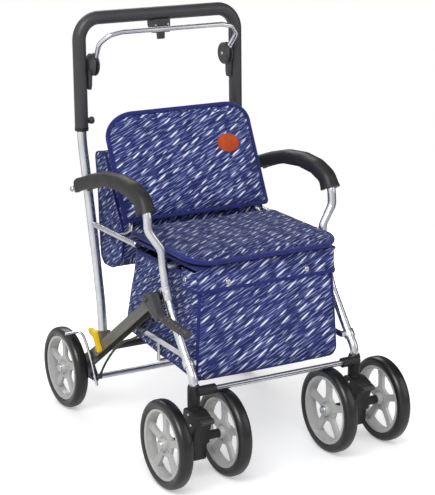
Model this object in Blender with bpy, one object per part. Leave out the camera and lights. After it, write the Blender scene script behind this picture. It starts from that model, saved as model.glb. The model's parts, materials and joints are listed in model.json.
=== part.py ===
"""Folding shopping rollator with seat, backrest, bag, push handle and twin casters.

Metres, +Z up. The rollator faces -Y and stands on z = 0, midway between its axles.
Side pieces are drawn at +X and mirrored for -X. "Left" is the -X side, as seen from the front.
"""

from math import cos, hypot, pi, radians, sin, tan

import bmesh
import bpy
from mathutils import Matrix, Vector

GAP = 0.0003  # between pieces that touch
RUN = 0.0003  # radial play of a pin in its hole

# Wheels
WHEEL_R = 0.0875
TYRE_W = 0.028
TYRE_DEPTH = 0.0175
RIM_FIT = 0.0003
RIM_W = 0.023
RIM_BAND = 0.0062
SPOKES = 5
SPOKE_T = 0.008
HUB_R = 0.0135
AXLE_R = 0.004
AXLE_HEAD_R = 0.0065
AXLE_HEAD_T = 0.0028
REAR_AXLE_Y = 0.2505
REAR_STAND_OFF = 0.0116  # rear leg to the tyre's inner side

# Main planes and pivots, as (y, z)
FRAME_X = 0.1856
ARM_OUT = 0.0268  # armrest outside the frame's plane
FOLD_PIVOT = (0.202, 0.490)
LEG_PIVOT = (-0.112, 0.333)
LEG_DROP = 0.0075  # rear leg's axis below the wheel axle

# Tubes
FRONT_TUBE_R = 0.0088
UPRIGHT_R = 0.0097
HANDLE_R = 0.014
HANDLE_BORE_R = 0.0103
RAIL_R = 0.006
BEARER_R = 0.007
CROSS_TUBE_R = 0.008
CROSSBAR_R = 0.0055
BAR_R = 0.005

# Casters
SWIVEL_Y = -0.243
TRAIL = 0.0075
TWIN_OFFSET = 0.0642
SOCKET_R = 0.0125
SOCKET_DROP = 0.033  # below the crossbar
SOCKET_RISE = 0.009
LEG_DEPTH = 0.018  # of the leg in its socket
STEM_R = 0.005
STEM_CLEAR = 0.005  # stem's end to the leg
YOKE_HALF = 0.0165
LOCK_REACH = 0.0455  # swivel axis to the lock tab's hinge
LOCK_DROP = 0.019  # below the socket
TAB_R = 0.0055

# Front crossbar
CROSSBAR_AHEAD = 0.013  # in front of the swivel axis
CROSSBAR_CLEAR = 0.0025  # over the front wheels
TEE_R = 0.010
TEE_LENGTH = 0.0392

# Armrest pad section
PAD_HALF = 0.017
PAD_TOP = 0.0165
PAD_SKIRT = 0.0135

# Rear leg channel
CHANNEL_W = 0.024
CHANNEL_H = 0.022
CHANNEL_WALL = 0.0015
CHEEK_R = 0.013
PIVOT_R = 0.004
FOOT_S = 0.297  # from the leg pivot along the leg
FOOT_HALF = 0.016
LOCK_S = 0.299
LOCK_H = -0.004
CROSS_S = 0.302
CROSS_H = -0.002
PLATE_T = 0.003

# Parking brake at the rear
SHAFT_AHEAD = 0.0985  # in front of the rear axle
SHAFT_RISE = 0.0025  # over the rear axle
SHAFT_R = 0.006
SHOE_OFF = 0.0046
SHOE_AHEAD = 0.035

# Handle and brake bar
SLIDE_SLOPE = 0.0217
HANDLE_Y = 0.230
HANDLE_Z = 0.8361
HANDLE_LENGTH = 0.2311  # of the arms, to the cross piece's axis
HANDLE_CORNER_R = 0.045
UPRIGHT_IN = 0.145  # of the upright inside the handle
KNOB_UP = 0.020  # above the handle's lower end
HANDLE_TRAVEL = 0.10
LOCK_PIN_R = 0.0025
HUB_AHEAD = 0.0065  # in front of the handle's cross piece
HUB_DROP = 0.0951
DRUM_R = 0.0235
DRUM_PIN_R = 0.0045
BAR_AHEAD = 0.060
BAR_DROP = 0.0246
CATCH_AHEAD = 0.008
CATCH_DROP = 0.0331

# Seat, backrest and luggage
RAIL_Z = 0.416
RAIL_FRONT = -0.015
HINGE_Y = 0.048
HINGE_DROP = 0.004  # below the rails' axis
HINGE_R = 0.004
BEARER_Y = -0.1255
BEARER_DROP = 0.018
BOARD_IN = 0.0135  # inside the seat pad's edge
BOARD_T = 0.0055
SEAT_CLEAR = 0.0061  # seat pad to each rail
SEAT_REAR = 0.040
SEAT_FRONT = -0.219
SEAT_T = 0.032
SEAT_CORNER = 0.050
BACK_CLEAR = 0.0136  # backrest's edge to the frame's plane
BACK_T = 0.022
BACK_CORNER = 0.060
BOW_R = 0.005
BOW_IN = 0.022  # inside the backrest's edge
BAG_CLEAR = 0.0276  # bag's side to the frame's plane
BAG_WALL = 0.004
BAG_BOTTOM = 0.190
BAG_DROP = 0.028  # bag's mouth below the rails
POUCH_CLEAR = 0.0176
POUCH_WALL = 0.004
FLAP_T = 0.0025
CARRIER_IN = 0.0151  # inside the frame's plane
CARRIER_T = 0.003
CARRIER_H = 0.012
STRAP_Y = -0.072
STRAP_W = 0.010
CABLE_R = 0.0025
CABLE_OUT = 0.0031  # outside the rear leg
STOP_AHEAD = 0.0215  # the lug for the cable's end, in front of the brake shaft
STOP_RISE = 0.008
CABLE_STOP_R = 0.0055

X = Vector((1, 0, 0))
Z = Vector((0, 0, 1))

RIM_R = WHEEL_R - TYRE_DEPTH - RIM_FIT
FRONT_AXLE_Y = SWIVEL_Y - TRAIL
REAR_AXLE = (REAR_AXLE_Y, WHEEL_R)
ARM_X = FRAME_X + ARM_OUT
CROSSBAR_Z = 2 * WHEEL_R + CROSSBAR_CLEAR + CROSSBAR_R
SOCKET_BOTTOM = CROSSBAR_Z - SOCKET_DROP
SOCKET_TOP = CROSSBAR_Z + SOCKET_RISE
LEG_END_Z = SOCKET_TOP - LEG_DEPTH
STEM_TOP = LEG_END_Z - STEM_CLEAR
LOCK_Z = SOCKET_BOTTOM - LOCK_DROP
HANDLE_BOTTOM = HANDLE_Z - HANDLE_LENGTH
UPRIGHT_TOP = HANDLE_BOTTOM + UPRIGHT_IN
KNOB_Z = HANDLE_BOTTOM + KNOB_UP
HUB_Y, HUB_Z = HANDLE_Y - HUB_AHEAD, HANDLE_Z - HUB_DROP
BAR_TOP_Y, BAR_TOP_Z = HANDLE_Y - BAR_AHEAD, HANDLE_Z - BAR_DROP
CATCH_Y, CATCH_Z = HANDLE_Y - CATCH_AHEAD, HANDLE_Z - CATCH_DROP
HINGE_Z = RAIL_Z - HINGE_DROP
BEARER_Z = RAIL_Z - BEARER_DROP
SEAT_HALF = FRAME_X - RAIL_R - SEAT_CLEAR
BOARD_HALF = SEAT_HALF - BOARD_IN
BACK_HALF = FRAME_X - BACK_CLEAR
BOW_HALF = BACK_HALF - BOW_IN
BAG_HALF = FRAME_X - BAG_CLEAR
BAG_TOP = RAIL_Z - BAG_DROP
POUCH_HALF = FRAME_X - POUCH_CLEAR
CARRIER_X = FRAME_X - CARRIER_IN
BORE_R = AXLE_R + RUN
LEG_END = (REAR_AXLE_Y, WHEEL_R - LEG_DROP)
LEG_LENGTH = hypot(LEG_END[0] - LEG_PIVOT[0], LEG_END[1] - LEG_PIVOT[1])
LEG_ALONG = Vector((0, (LEG_END[0] - LEG_PIVOT[0]) / LEG_LENGTH, (LEG_END[1] - LEG_PIVOT[1]) / LEG_LENGTH))
LEG_UP = Vector((0, -LEG_ALONG.z, LEG_ALONG.y))
SLIDE = Vector((0, SLIDE_SLOPE, 1)).normalized()
SHAFT = (REAR_AXLE_Y - SHAFT_AHEAD, WHEEL_R + SHAFT_RISE)
CABLE_STOP = (SHAFT[0] - STOP_AHEAD, SHAFT[1] + STOP_RISE)
OUTER_CHEEK = FRAME_X + CHANNEL_W / 2
INNER_CHEEK = FRAME_X - CHANNEL_W / 2
REAR_WHEEL_X = OUTER_CHEEK + REAR_STAND_OFF + TYRE_W / 2
CABLE_X = OUTER_CHEEK + CABLE_OUT


def side_point(x, yz):
    """A point at distance x from the middle plane, with yz as its (y, z)."""
    return Vector((x, yz[0], yz[1]))


def leg_point(x, along, up):
    """A point given along the rear leg from its pivot, and above the leg's axis."""
    return side_point(x, LEG_PIVOT) + LEG_ALONG * along + LEG_UP * up


def handle_axis(x, z):
    """A point on the sloping axis that the handle slides along."""
    return Vector((x, HANDLE_Y + (z - HANDLE_Z) * SLIDE_SLOPE, z))


def rounded(points, radius, step=radians(18), closed=False):
    """The points as a path with each corner turned at the radius, shortened where a run is too short."""
    points = [Vector(p) for p in points]
    count = len(points)
    path = [] if closed else [points[0]]
    for i in range(0 if closed else 1, count if closed else count - 1):
        before, here, after = points[i - 1], points[i], points[(i + 1) % count]
        back, ahead = before - here, after - here
        turn = pi - back.angle(ahead)
        if turn < radians(9):
            path.append(here)
            continue
        reach = min(radius * tan(turn / 2), 0.48 * back.length, 0.48 * ahead.length)
        bend = reach / tan(turn / 2)
        start = here + back.normalized() * reach
        centre = here + (back.normalized() + ahead.normalized()).normalized() * (bend / cos(turn / 2))
        steps = max(1, round(turn / step))
        axis = back.cross(ahead).normalized()
        for k in range(steps + 1):
            path.append(centre + Matrix.Rotation(-turn * k / steps, 3, axis) @ (start - centre))
    return path if closed else path + [points[-1]]


def circle(radius, sides, turn=0.5):
    """A circle's corners as (u, v), turned by a share of one side."""
    return [
        (radius * cos(2 * pi * (k + turn) / sides), radius * sin(2 * pi * (k + turn) / sides))
        for k in range(sides)
    ]


def make(points, faces):
    """A closed mesh object with its faces turned outward."""
    mesh = bpy.data.meshes.new("shape")
    mesh.from_pydata([tuple(p) for p in points], [], faces)
    shape = bmesh.new()
    shape.from_mesh(mesh)
    bmesh.ops.remove_doubles(shape, verts=shape.verts, dist=1e-7)
    bmesh.ops.recalc_face_normals(shape, faces=shape.faces)
    shape.to_mesh(mesh)
    shape.free()
    obj = bpy.data.objects.new("shape", mesh)
    bpy.context.scene.collection.objects.link(obj)
    return obj


def skin(rings, closed=False):
    """Faces between rings of equal length, with the first and last ring filled unless the loop closes."""
    size = len(rings[0])
    points = [p for ring in rings for p in ring]
    faces = []
    for i in range(len(rings) if closed else len(rings) - 1):
        here, there = i * size, (i + 1) % len(rings) * size
        for k in range(size):
            step = (k + 1) % size
            faces.append((here + k, here + step, there + step, there + k))
    if not closed:
        faces.append(tuple(range(size)))
        faces.append(tuple(range(len(points) - size, len(points))))
    return make(points, faces)


def sweep(path, profile, across):
    """A profile of (u, v) carried along a path, with u kept as near to the vector across as it can be."""
    rings = []
    for i, here in enumerate(path):
        before, after = path[max(i - 1, 0)], path[min(i + 1, len(path) - 1)]
        along = ((here - before).normalized() + (after - here).normalized()).normalized()
        u = (across - along * across.dot(along)).normalized()
        v = along.cross(u)
        rings.append([here + u * a + v * b for a, b in profile])
    return skin(rings)


def rod(start, end, radius, sides=12):
    """A solid cylinder between two points."""
    start, end = Vector(start), Vector(end)
    across = Z if abs((end - start).normalized().z) < 0.9 else X
    return sweep([start, end], circle(radius, sides), across)


def lathe(profile, centre, axis, sides, ring=False):
    """A profile of (radius, height) turned about an axis. A ring's profile is a loop clear of the axis."""
    across = Z if abs(axis.z) < 0.9 else X
    u = (across - axis * across.dot(axis)).normalized()
    v = axis.cross(u)
    rings = []
    for k in range(sides):
        angle = 2 * pi * (k + 0.5) / sides
        out = u * cos(angle) + v * sin(angle)
        rings.append([centre + out * r + axis * h for r, h in profile])
    if ring:
        return skin(rings, closed=True)
    size = len(profile)
    points = [p for one in rings for p in one]
    faces = []
    for k in range(sides):
        here, there = k * size, (k + 1) % sides * size
        faces.extend((here + i, here + i + 1, there + i + 1, there + i) for i in range(size - 1))
    faces.append(tuple(k * size for k in range(sides)))
    faces.append(tuple(k * size + size - 1 for k in range(sides)))
    return make(points, faces)


def prism(outline, start, end):
    """An outline of (y, z) given thickness along X, from start to end."""
    return skin([[Vector((x, y, z)) for y, z in outline] for x in (start, end)])


def leg_prism(outline, start, end):
    """An outline of (along, up) in the rear leg's frame, given thickness along X."""
    return skin([[leg_point(x, a, b) for a, b in outline] for x in (start, end)])


def block(low, high):
    """A box between two corners."""
    (x0, y0, z0), (x1, y1, z1) = low, high
    return prism([(y0, z0), (y1, z0), (y1, z1), (y0, z1)], x0, x1)


def corners(points, radius, step=radians(30)):
    """A closed outline of pairs with rounded corners."""
    return [(p.x, p.y) for p in rounded([(a, b, 0) for a, b in points], radius, step, closed=True)]


def blend(base, tool, operation):
    """The base joined with, or cut by, the tool, which is used up."""
    modifier = base.modifiers.new("Blend", "BOOLEAN")
    modifier.operation = operation
    modifier.solver = "EXACT"
    modifier.object = tool
    graph = bpy.context.evaluated_depsgraph_get()
    mesh = bpy.data.meshes.new_from_object(base.evaluated_get(graph))
    base.modifiers.clear()
    base.data = mesh
    bpy.data.objects.remove(tool)
    return base


def join(base, *others):
    for other in others:
        base = blend(base, other, "UNION")
    return base


def cut(base, *tools):
    for tool in tools:
        base = blend(base, tool, "DIFFERENCE")
    return base


def stretch(path, low, high):
    """The part of a path between two distances along it."""
    found, travelled = [], 0
    for here, there in zip(path, path[1:]):
        length = (there - here).length
        for end in (low, high):
            if travelled <= end < travelled + length:
                found.append(here.lerp(there, (end - travelled) / length))
        if low < travelled + length < high - 1e-6:
            found.append(there)
        travelled += length
    return found


def along_at(path, point):
    """The distance along a path of its point nearest to another point."""
    best, travelled = (1e9, 0), 0
    for here, there in zip(path, path[1:]):
        run = there - here
        share = min(1, max(0, (point - here).dot(run) / run.length_squared))
        best = min(best, ((here + run * share - point).length, travelled + run.length * share))
        travelled += run.length
    return best[1]


def total(path):
    return sum((b - a).length for a, b in zip(path, path[1:]))


def smooth_between(a, b, c, d, t):
    """A point on the smooth curve from b to c, with a and d as the points on either side."""
    return 0.5 * (2 * b + (c - a) * t + (2 * a - 5 * b + 4 * c - d) * t**2 + (3 * b - a - 3 * c + d) * t**3)


def hull(circles, sides=12):
    """The convex outline around circles given as (a, b, radius)."""
    points = sorted({(a + u, b + v) for a, b, r in circles for u, v in circle(r, sides)})
    outline = []
    for order in (points, points[::-1]):
        start = len(outline)
        for p in order:
            while len(outline) > start + 1:
                (ax, ay), (bx, by) = outline[-2], outline[-1]
                if (bx - ax) * (p[1] - ay) - (by - ay) * (p[0] - ax) > 0:
                    break
                outline.pop()
            outline.append(p)
        outline.pop()
    return outline


def inset(outline, wall):
    """An outline moved inward by a wall thickness."""
    area = sum(a[0] * b[1] - b[0] * a[1] for a, b in zip(outline, outline[1:] + outline[:1]))
    wall = wall if area > 0 else -wall
    moved = []
    for i, here in enumerate(outline):
        before, after = outline[i - 1], outline[(i + 1) % len(outline)]
        a = Vector((here[0] - before[0], here[1] - before[1])).normalized()
        b = Vector((after[0] - here[0], after[1] - here[1])).normalized()
        out = (Vector((-a.y, a.x)) + Vector((-b.y, b.x))).normalized()
        reach = wall / max(0.2, out.dot(Vector((-a.y, a.x))))
        moved.append((here[0] + out.x * reach, here[1] + out.y * reach))
    return moved


def flat(radius):
    """The corner radius of a faceted wheel whose facets lie at the given radius."""
    return radius / cos(pi / WHEEL_SIDES)


def mirrored(obj):
    """A copy of the object on the other side of the middle plane."""
    mesh = obj.data.copy()
    mesh.transform(Matrix.Diagonal((-1, 1, 1, 1)))
    mesh.flip_normals()
    copy = bpy.data.objects.new("shape", mesh)
    bpy.context.scene.collection.objects.link(copy)
    return copy


def paint(name, colour, roughness, metallic=0.0):
    """A material of one colour."""
    material = bpy.data.materials.new(name)
    material.use_nodes = True
    shader = material.node_tree.nodes["Principled BSDF"]
    shader.inputs["Base Color"].default_value = (*colour, 1)
    shader.inputs["Roughness"].default_value = roughness
    shader.inputs["Metallic"].default_value = metallic
    material.diffuse_color = (*colour, 1)
    return material


BODIES = {}
PAINTS = {}


def body(name, pivot, parent=None):
    """An empty on a joint's axis, which carries the pieces that move with it."""
    empty = bpy.data.objects.new("body_" + name, None)
    empty.empty_display_size = 0.02
    bpy.context.scene.collection.objects.link(empty)
    pivot = Vector(pivot)
    if parent:
        empty.parent = BODIES[parent][0]
        empty.location = pivot - BODIES[parent][1]
    else:
        empty.location = pivot
    BODIES[name] = (empty, pivot)


def finish(obj, name, carrier, colour):
    """Names a piece, hangs it on its body with its origin on the joint's axis and smooths round faces."""
    empty, pivot = BODIES[carrier]
    obj.data.transform(Matrix.Translation(-pivot))
    obj.parent = empty
    obj.name = name
    obj.data.name = name
    obj.data.materials.clear()
    obj.data.materials.append(PAINTS[colour])
    obj.data.shade_smooth()
    obj.data.set_sharp_from_angle(angle=radians(32))
    return obj


def both_sides(obj, name, carrier, colour):
    """A side piece and its mirror image, on one body or on the two bodies named with the sides."""
    other = mirrored(obj)
    for side, piece in (("right", obj), ("left", other)):
        carried = carrier if carrier in BODIES else f"{carrier}_{side}"
        finish(piece, f"{name}_{side}", carried, colour)


def placed(mesh, name, carrier, centre, colour):
    """A copy of a wheel's mesh at its centre."""
    obj = bpy.data.objects.new(name, mesh)
    bpy.context.scene.collection.objects.link(obj)
    empty, pivot = BODIES[carrier]
    obj.parent = empty
    obj.location = centre - pivot
    if not mesh.materials:
        mesh.materials.append(PAINTS[colour])
    return obj


WHEEL_SIDES = 24
PIN_SIDES = 12
TUBE_SIDES = 10
BOLT_R = 0.003
BOLT_HEAD_R = 0.0065
BOLT_HEAD_T = 0.003
EYE_R = 0.0105
LEG_STRAIGHT = 0.013
LEG_BENDS = ((0.030, 0.048), (0.083, 0.116), (0.106, 0.162))  # from the socket's mouth
S_BEND = ((-0.322, -0.060), (-0.317, -0.020))  # from the fold pivot
ARCH = (
    (-0.314, 0.010),
    (-0.299, 0.036),
    (-0.262, 0.050),
    (-0.212, 0.055),
    (-0.152, 0.050),
    (-0.089, 0.034),
    (-0.042, 0.018),
)
PAD_REAR = 0.030  # fold pivot to the pad's rear end, along the tube
PAD_LENGTH = 0.305
COLLAR_R = 0.0125
COLLAR_LENGTH = 0.028
TONGUE_HALF = 0.0085
PIN_HEAD_R = 0.0068
LEVER_IN = OUTER_CHEEK + 0.0059
LEVER_T = 0.016
PIN_CAP_T = 0.0100


def front_route():
    """The front tube's path: up the leg, out through the S-bend and back over the armrest."""
    foot = (SWIVEL_Y, SOCKET_TOP)
    leg = [(foot[0] + a, foot[1] + b) for a, b in LEG_BENDS]
    low, high = [(FOLD_PIVOT[0] + a, FOLD_PIVOT[1] + b) for a, b in S_BEND]
    arch = [(FOLD_PIVOT[0] + a, FOLD_PIVOT[1] + b) for a, b in ARCH]
    points = [side_point(FRAME_X, (SWIVEL_Y, z)) for z in (LEG_END_Z, SOCKET_TOP + LEG_STRAIGHT)]
    points += [side_point(FRAME_X, p) for p in leg]
    points += [side_point(FRAME_X, (BEARER_Y, BEARER_Z)), side_point(FRAME_X, low), side_point(ARM_X, high)]
    points += [side_point(ARM_X, p) for p in arch]
    points.append(side_point(ARM_X, FOLD_PIVOT))
    return rounded(points, 0.030, radians(22))


def front_tube(radius):
    """The front tube as a solid, also used as a cutter at a larger radius."""
    return sweep(front_route(), circle(radius, TUBE_SIDES), X)


def upright_route():
    """The upright's path, from its foot on the rear leg to its end inside the handle."""
    foot = leg_point(FRAME_X, FOOT_S, CHANNEL_H / 2 + GAP + 0.0055)
    bends = ((-0.051, -0.232), (-0.025, -0.108), (0, 0))
    points = [foot] + [side_point(FRAME_X, (FOLD_PIVOT[0] + a, FOLD_PIVOT[1] + b)) for a, b in bends]
    points += [handle_axis(FRAME_X, HANDLE_BOTTOM - 0.020), handle_axis(FRAME_X, UPRIGHT_TOP)]
    return rounded(points, 0.15)


def front_frame():
    ends = [side_point(ARM_X + side * FRONT_TUBE_R, FOLD_PIVOT) for side in (-1, 1)]
    eye = rod(*ends, EYE_R)
    frame = join(front_tube(FRONT_TUBE_R), eye)
    hole = rod(side_point(ARM_X - 0.02, FOLD_PIVOT), side_point(ARM_X + 0.02, FOLD_PIVOT), BOLT_R + RUN)
    both_sides(cut(frame, hole), "front_frame", "frame", "silver")


def armrest_pad():
    """A channel-shaped grip over the armrest tube, open below."""
    route = front_route()
    end = total(route) - PAD_REAR
    path = stretch(route, end - PAD_LENGTH, end)
    inner = (FRONT_TUBE_R + GAP) / cos(radians(22.5))
    shoulder = 0.62 * PAD_HALF
    outer = [(-PAD_HALF, PAD_SKIRT), (-PAD_HALF, -0.4 * PAD_TOP), (-shoulder, -0.87 * PAD_TOP), (0, -PAD_TOP)]
    bore = [(inner * cos(a), -inner * sin(a)) for a in (radians(45 * k) for k in range(5))]
    loop = outer + [(-a, b) for a, b in outer[2::-1]] + [(inner, PAD_SKIRT)] + bore + [(-inner, PAD_SKIRT)]
    both_sides(sweep(path, loop, X), "armrest_pad", "frame", "charcoal")


def armrest_bolt():
    """The shoulder bolt that hangs the upright on the armrest tube."""
    inside, outside = FRAME_X - UPRIGHT_R - GAP, FRAME_X + UPRIGHT_R + GAP
    near, far = ARM_X - FRONT_TUBE_R - GAP, ARM_X + FRONT_TUBE_R + GAP
    profile = [
        (0.0055, inside - BOLT_HEAD_T),
        (0.0055, inside),
        (BOLT_R, inside),
        (BOLT_R, outside),
        (0.006, outside),
        (0.006, near),
        (BOLT_R, near),
        (BOLT_R, far),
        (BOLT_HEAD_R, far),
        (0.7 * BOLT_HEAD_R, far + BOLT_HEAD_T),
    ]
    bolt = lathe(profile, side_point(0, FOLD_PIVOT), X, 10)
    both_sides(bolt, "armrest_bolt", "frame", "steel")


def leg_bracket(lever):
    """A clamp on the front tube, its tongue between the rear leg's cheeks and the pivot pin through both."""
    route = front_route()
    middle = along_at(route, side_point(FRAME_X, LEG_PIVOT))
    reach = COLLAR_LENGTH / 2
    collar = sweep(stretch(route, middle - reach, middle + reach), circle(COLLAR_R, TUBE_SIDES), X)
    seat = stretch(route, middle, middle + 0.001)[0]
    half = CHANNEL_W / 2 - CHANNEL_WALL - GAP
    outline = hull([(seat.y, seat.z, TONGUE_HALF), (*LEG_PIVOT, TONGUE_HALF)], 10)
    tongue = prism(outline, FRAME_X - half, FRAME_X + half)
    inside, outside = INNER_CHEEK - GAP, OUTER_CHEEK + GAP
    profile = [(PIN_HEAD_R, inside - BOLT_HEAD_T), (PIN_HEAD_R, inside)]
    profile += [(PIVOT_R, inside), (PIVOT_R, outside)]
    if lever:
        far = LEVER_IN + LEVER_T + GAP
        profile += [(PIN_HEAD_R, outside), (PIN_HEAD_R, LEVER_IN - GAP), (PIVOT_R, LEVER_IN - GAP)]
        profile += [(PIVOT_R, far), (BOLT_HEAD_R, far), (0.7 * BOLT_HEAD_R, far + BOLT_HEAD_T)]
    else:
        profile += [(PIN_HEAD_R, outside), (PIN_HEAD_R, outside + PIN_CAP_T / 2)]
        profile.append((0.6 * PIN_HEAD_R, outside + PIN_CAP_T))
    pin = lathe(profile, side_point(0, LEG_PIVOT), X, 10)
    bracket = cut(join(collar, tongue), front_tube(FRONT_TUBE_R + GAP))
    return join(bracket, pin)


def caster_socket():
    """The plastic socket for the leg from above, the caster's stem from below and the crossbar beside it."""

    def bore(low, high, radius, sides=12):
        return rod((FRAME_X, SWIVEL_Y, low), (FRAME_X, SWIVEL_Y, high), radius, sides)

    centre = Vector((FRAME_X, SWIVEL_Y, 0))
    profile = [(SOCKET_R, SOCKET_BOTTOM), (SOCKET_R, SOCKET_TOP - 0.006), (SOCKET_R - 0.0015, SOCKET_TOP)]
    tee_y = SWIVEL_Y - CROSSBAR_AHEAD
    tee_start = FRAME_X - TEE_LENGTH
    tee = rod((tee_start, tee_y, CROSSBAR_Z), (FRAME_X, tee_y, CROSSBAR_Z), TEE_R)
    socket = join(lathe(profile, centre, Z, 16), tee)
    mouth = bore(LEG_END_Z - GAP, SOCKET_TOP + 0.01, FRONT_TUBE_R + GAP, TUBE_SIDES)
    stem = bore(SOCKET_BOTTOM - 0.01, STEM_TOP + GAP, STEM_R + RUN)
    bar_end = (crossbar_end() + GAP, tee_y, CROSSBAR_Z)
    side = rod((tee_start - 0.01, tee_y, CROSSBAR_Z), bar_end, CROSSBAR_R + GAP)
    both_sides(cut(socket, mouth, stem, side), "caster_socket", "frame", "charcoal")


def crossbar_end():
    return FRAME_X - SOCKET_R - 0.0035


def front_crossbar():
    y = SWIVEL_Y - CROSSBAR_AHEAD
    bar = rod((-crossbar_end(), y, CROSSBAR_Z), (crossbar_end(), y, CROSSBAR_Z), CROSSBAR_R)
    finish(bar, "front_crossbar", "frame", "silver")


def seat_bearer():
    """The cross tube under the seat's front half, with its ends shaped to the legs."""
    bearer = rod((-FRAME_X, BEARER_Y, BEARER_Z), (FRAME_X, BEARER_Y, BEARER_Z), BEARER_R)
    sleeve = front_tube(FRONT_TUBE_R + GAP)
    finish(cut(bearer, mirrored(sleeve), sleeve), "seat_bearer", "frame", "silver")


CARRIER_HOLD = 0.228  # height of the carrier's clip on the leg
CARRIER_REAR = (0.030, 0.235)
CLIP_R = 0.0118
CLIP_LENGTH = 0.014
STRAP_T = 0.0025
BAG_FRONT_TOP = -0.2065
BAG_FRONT_LOW = -0.2190
BAG_REAR_TOP = 0.050
BAG_REAR_LOW = 0.088
FLAP_HEM = BAG_TOP - 0.028
FLAP_TOP = BAG_TOP + 0.012
FLAP_WING = 0.055


def clip_point():
    """Where the bag carrier's clip sits on the front tube."""
    route = front_route()
    return along_at(route, Vector((FRAME_X, SWIVEL_Y + 0.021, CARRIER_HOLD)))


def bag_carrier():
    """Two flat rails clipped to the legs, with a strap between them that holds the bag up."""
    route = front_route()
    middle = clip_point()
    hold = stretch(route, middle, middle + 0.001)[0]
    inner, outer = CARRIER_X - CARRIER_T / 2, CARRIER_X + CARRIER_T / 2
    half = CARRIER_H / 2
    rail = prism(hull([(hold.y + half, hold.z, half), (*CARRIER_REAR, half)], 12), inner, outer)
    lug_end = (FRAME_X - FRONT_TUBE_R, hold.y + 0.009, hold.z + 0.005)
    lug = block((inner, hold.y - 0.001, hold.z - 0.005), lug_end)
    held = stretch(route, middle - CLIP_LENGTH / 2, middle + CLIP_LENGTH / 2)
    clip = sweep(held, circle(CLIP_R, TUBE_SIDES), X)
    right = cut(join(clip, lug, rail), front_tube(FRONT_TUBE_R + GAP))
    left = mirrored(right)
    bottom = BAG_BOTTOM - GAP - STRAP_T
    side = CARRIER_X - CARRIER_T / 2 - 0.001
    top = (hold.z + CARRIER_REAR[1]) / 2
    loop = [(side, top), (side + 0.002, top), (side + 0.002, bottom), (-side - 0.002, bottom)]
    loop += [(-side - 0.002, top), (-side, top), (-side, bottom + STRAP_T), (side, bottom + STRAP_T)]
    ends = (STRAP_Y - STRAP_W / 2, STRAP_Y + STRAP_W / 2)
    strap = skin([[Vector((a, y, b)) for a, b in loop] for y in ends])
    finish(join(strap, right, left), "bag_carrier", "frame", "silver")


def bag_front(z):
    """The bag's front face at a height."""
    return BAG_FRONT_TOP + (BAG_TOP - z) * (BAG_FRONT_LOW - BAG_FRONT_TOP) / (BAG_TOP - BAG_BOTTOM)


def shopping_bag():
    """An open shell under the seat, narrowing towards the floor at the rear."""
    outline = [
        (BAG_REAR_TOP, BAG_TOP),
        (BAG_FRONT_TOP, BAG_TOP),
        (BAG_FRONT_LOW, BAG_BOTTOM),
        (STRAP_Y + STRAP_W, BAG_BOTTOM),
        (BAG_REAR_LOW, BAG_BOTTOM + 0.018),
        (BAG_REAR_LOW + 0.008, BAG_BOTTOM + 0.034),
    ]
    hollow = inset(outline, BAG_WALL)
    hollow = [(a, b + (0.03 if b > BAG_TOP - 2 * BAG_WALL else 0)) for a, b in hollow]
    shell = prism(outline, -BAG_HALF, BAG_HALF)
    inside = prism(hollow, BAG_WALL - BAG_HALF, BAG_HALF - BAG_WALL)
    finish(cut(shell, inside), "shopping_bag", "frame", "indigo")


def bag_flap():
    """The flap over the bag's mouth, with wings round its sides."""
    rings = []
    for z in (FLAP_HEM, FLAP_TOP):
        front = bag_front(min(z, BAG_TOP)) - GAP
        side, wing = BAG_HALF + GAP, front + FLAP_WING
        ring = [(side, wing), (side + FLAP_T, wing), (side + FLAP_T, front - FLAP_T)]
        ring += [(-a, b) for a, b in ring[::-1]]
        ring += [(-side, front), (side, front)]
        rings.append([Vector((a, b, z)) for a, b in ring])
    finish(skin(rings), "bag_flap", "frame", "indigo")


def upright_tube(radius):
    return sweep(upright_route(), circle(radius, TUBE_SIDES), X)


def upright():
    """The upright with its foot on the rear leg and a slot for the height pin."""
    low = CHANNEL_H / 2 + GAP
    shoe = [
        (FOOT_S - FOOT_HALF - 0.001, low),
        (FOOT_S + FOOT_HALF, low),
        (FOOT_S + FOOT_HALF - 0.002, low + 0.008),
        (FOOT_S + 0.005, low + 0.018),
        (FOOT_S - FOOT_HALF - 0.001, low + 0.018),
    ]
    foot = leg_prism(corners(shoe, 0.003), INNER_CHEEK, OUTER_CHEEK)
    tube = join(upright_tube(UPRIGHT_R), foot)
    bolt = rod(side_point(FRAME_X - 0.02, FOLD_PIVOT), side_point(FRAME_X + 0.02, FOLD_PIVOT), BOLT_R + RUN)
    tube = cut(tube, bolt)
    ends = [handle_axis(FRAME_X, z) for z in (KNOB_Z, KNOB_Z + HANDLE_TRAVEL * SLIDE.z)]
    slot = prism(hull([(p.y, p.z, LOCK_PIN_R + 0.0006) for p in ends], 12), FRAME_X - 0.02, FRAME_X - 0.003)
    both_sides(cut(tube, slot), "upright", "upright", "silver")


def seat_rail():
    """A short rail welded to the upright, which carries the seat's hinge rod and the backrest bow."""
    rail = rod((FRAME_X, FOLD_PIVOT[0] - 0.018, RAIL_Z), (FRAME_X, RAIL_FRONT, RAIL_Z), RAIL_R)
    both_sides(cut(rail, upright_tube(UPRIGHT_R + GAP)), "seat_rail", "upright", "silver")


def rail_rooms(y, z, half):
    """Blocks that clear a cross piece's ends from both seat rails."""
    rooms = []
    for x in (-FRAME_X, FRAME_X):
        rooms.append(block((x - half, y - 0.02, z - 0.02), (x + half, y + 0.02, z + 0.02)))
    return rooms


def seat_hinge_rod():
    pin = rod((-FRAME_X, HINGE_Y, HINGE_Z), (FRAME_X, HINGE_Y, HINGE_Z), HINGE_R)
    finish(cut(pin, *rail_rooms(HINGE_Y, HINGE_Z, 0.0061)), "seat_hinge_rod", "upright", "silver")


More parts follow.
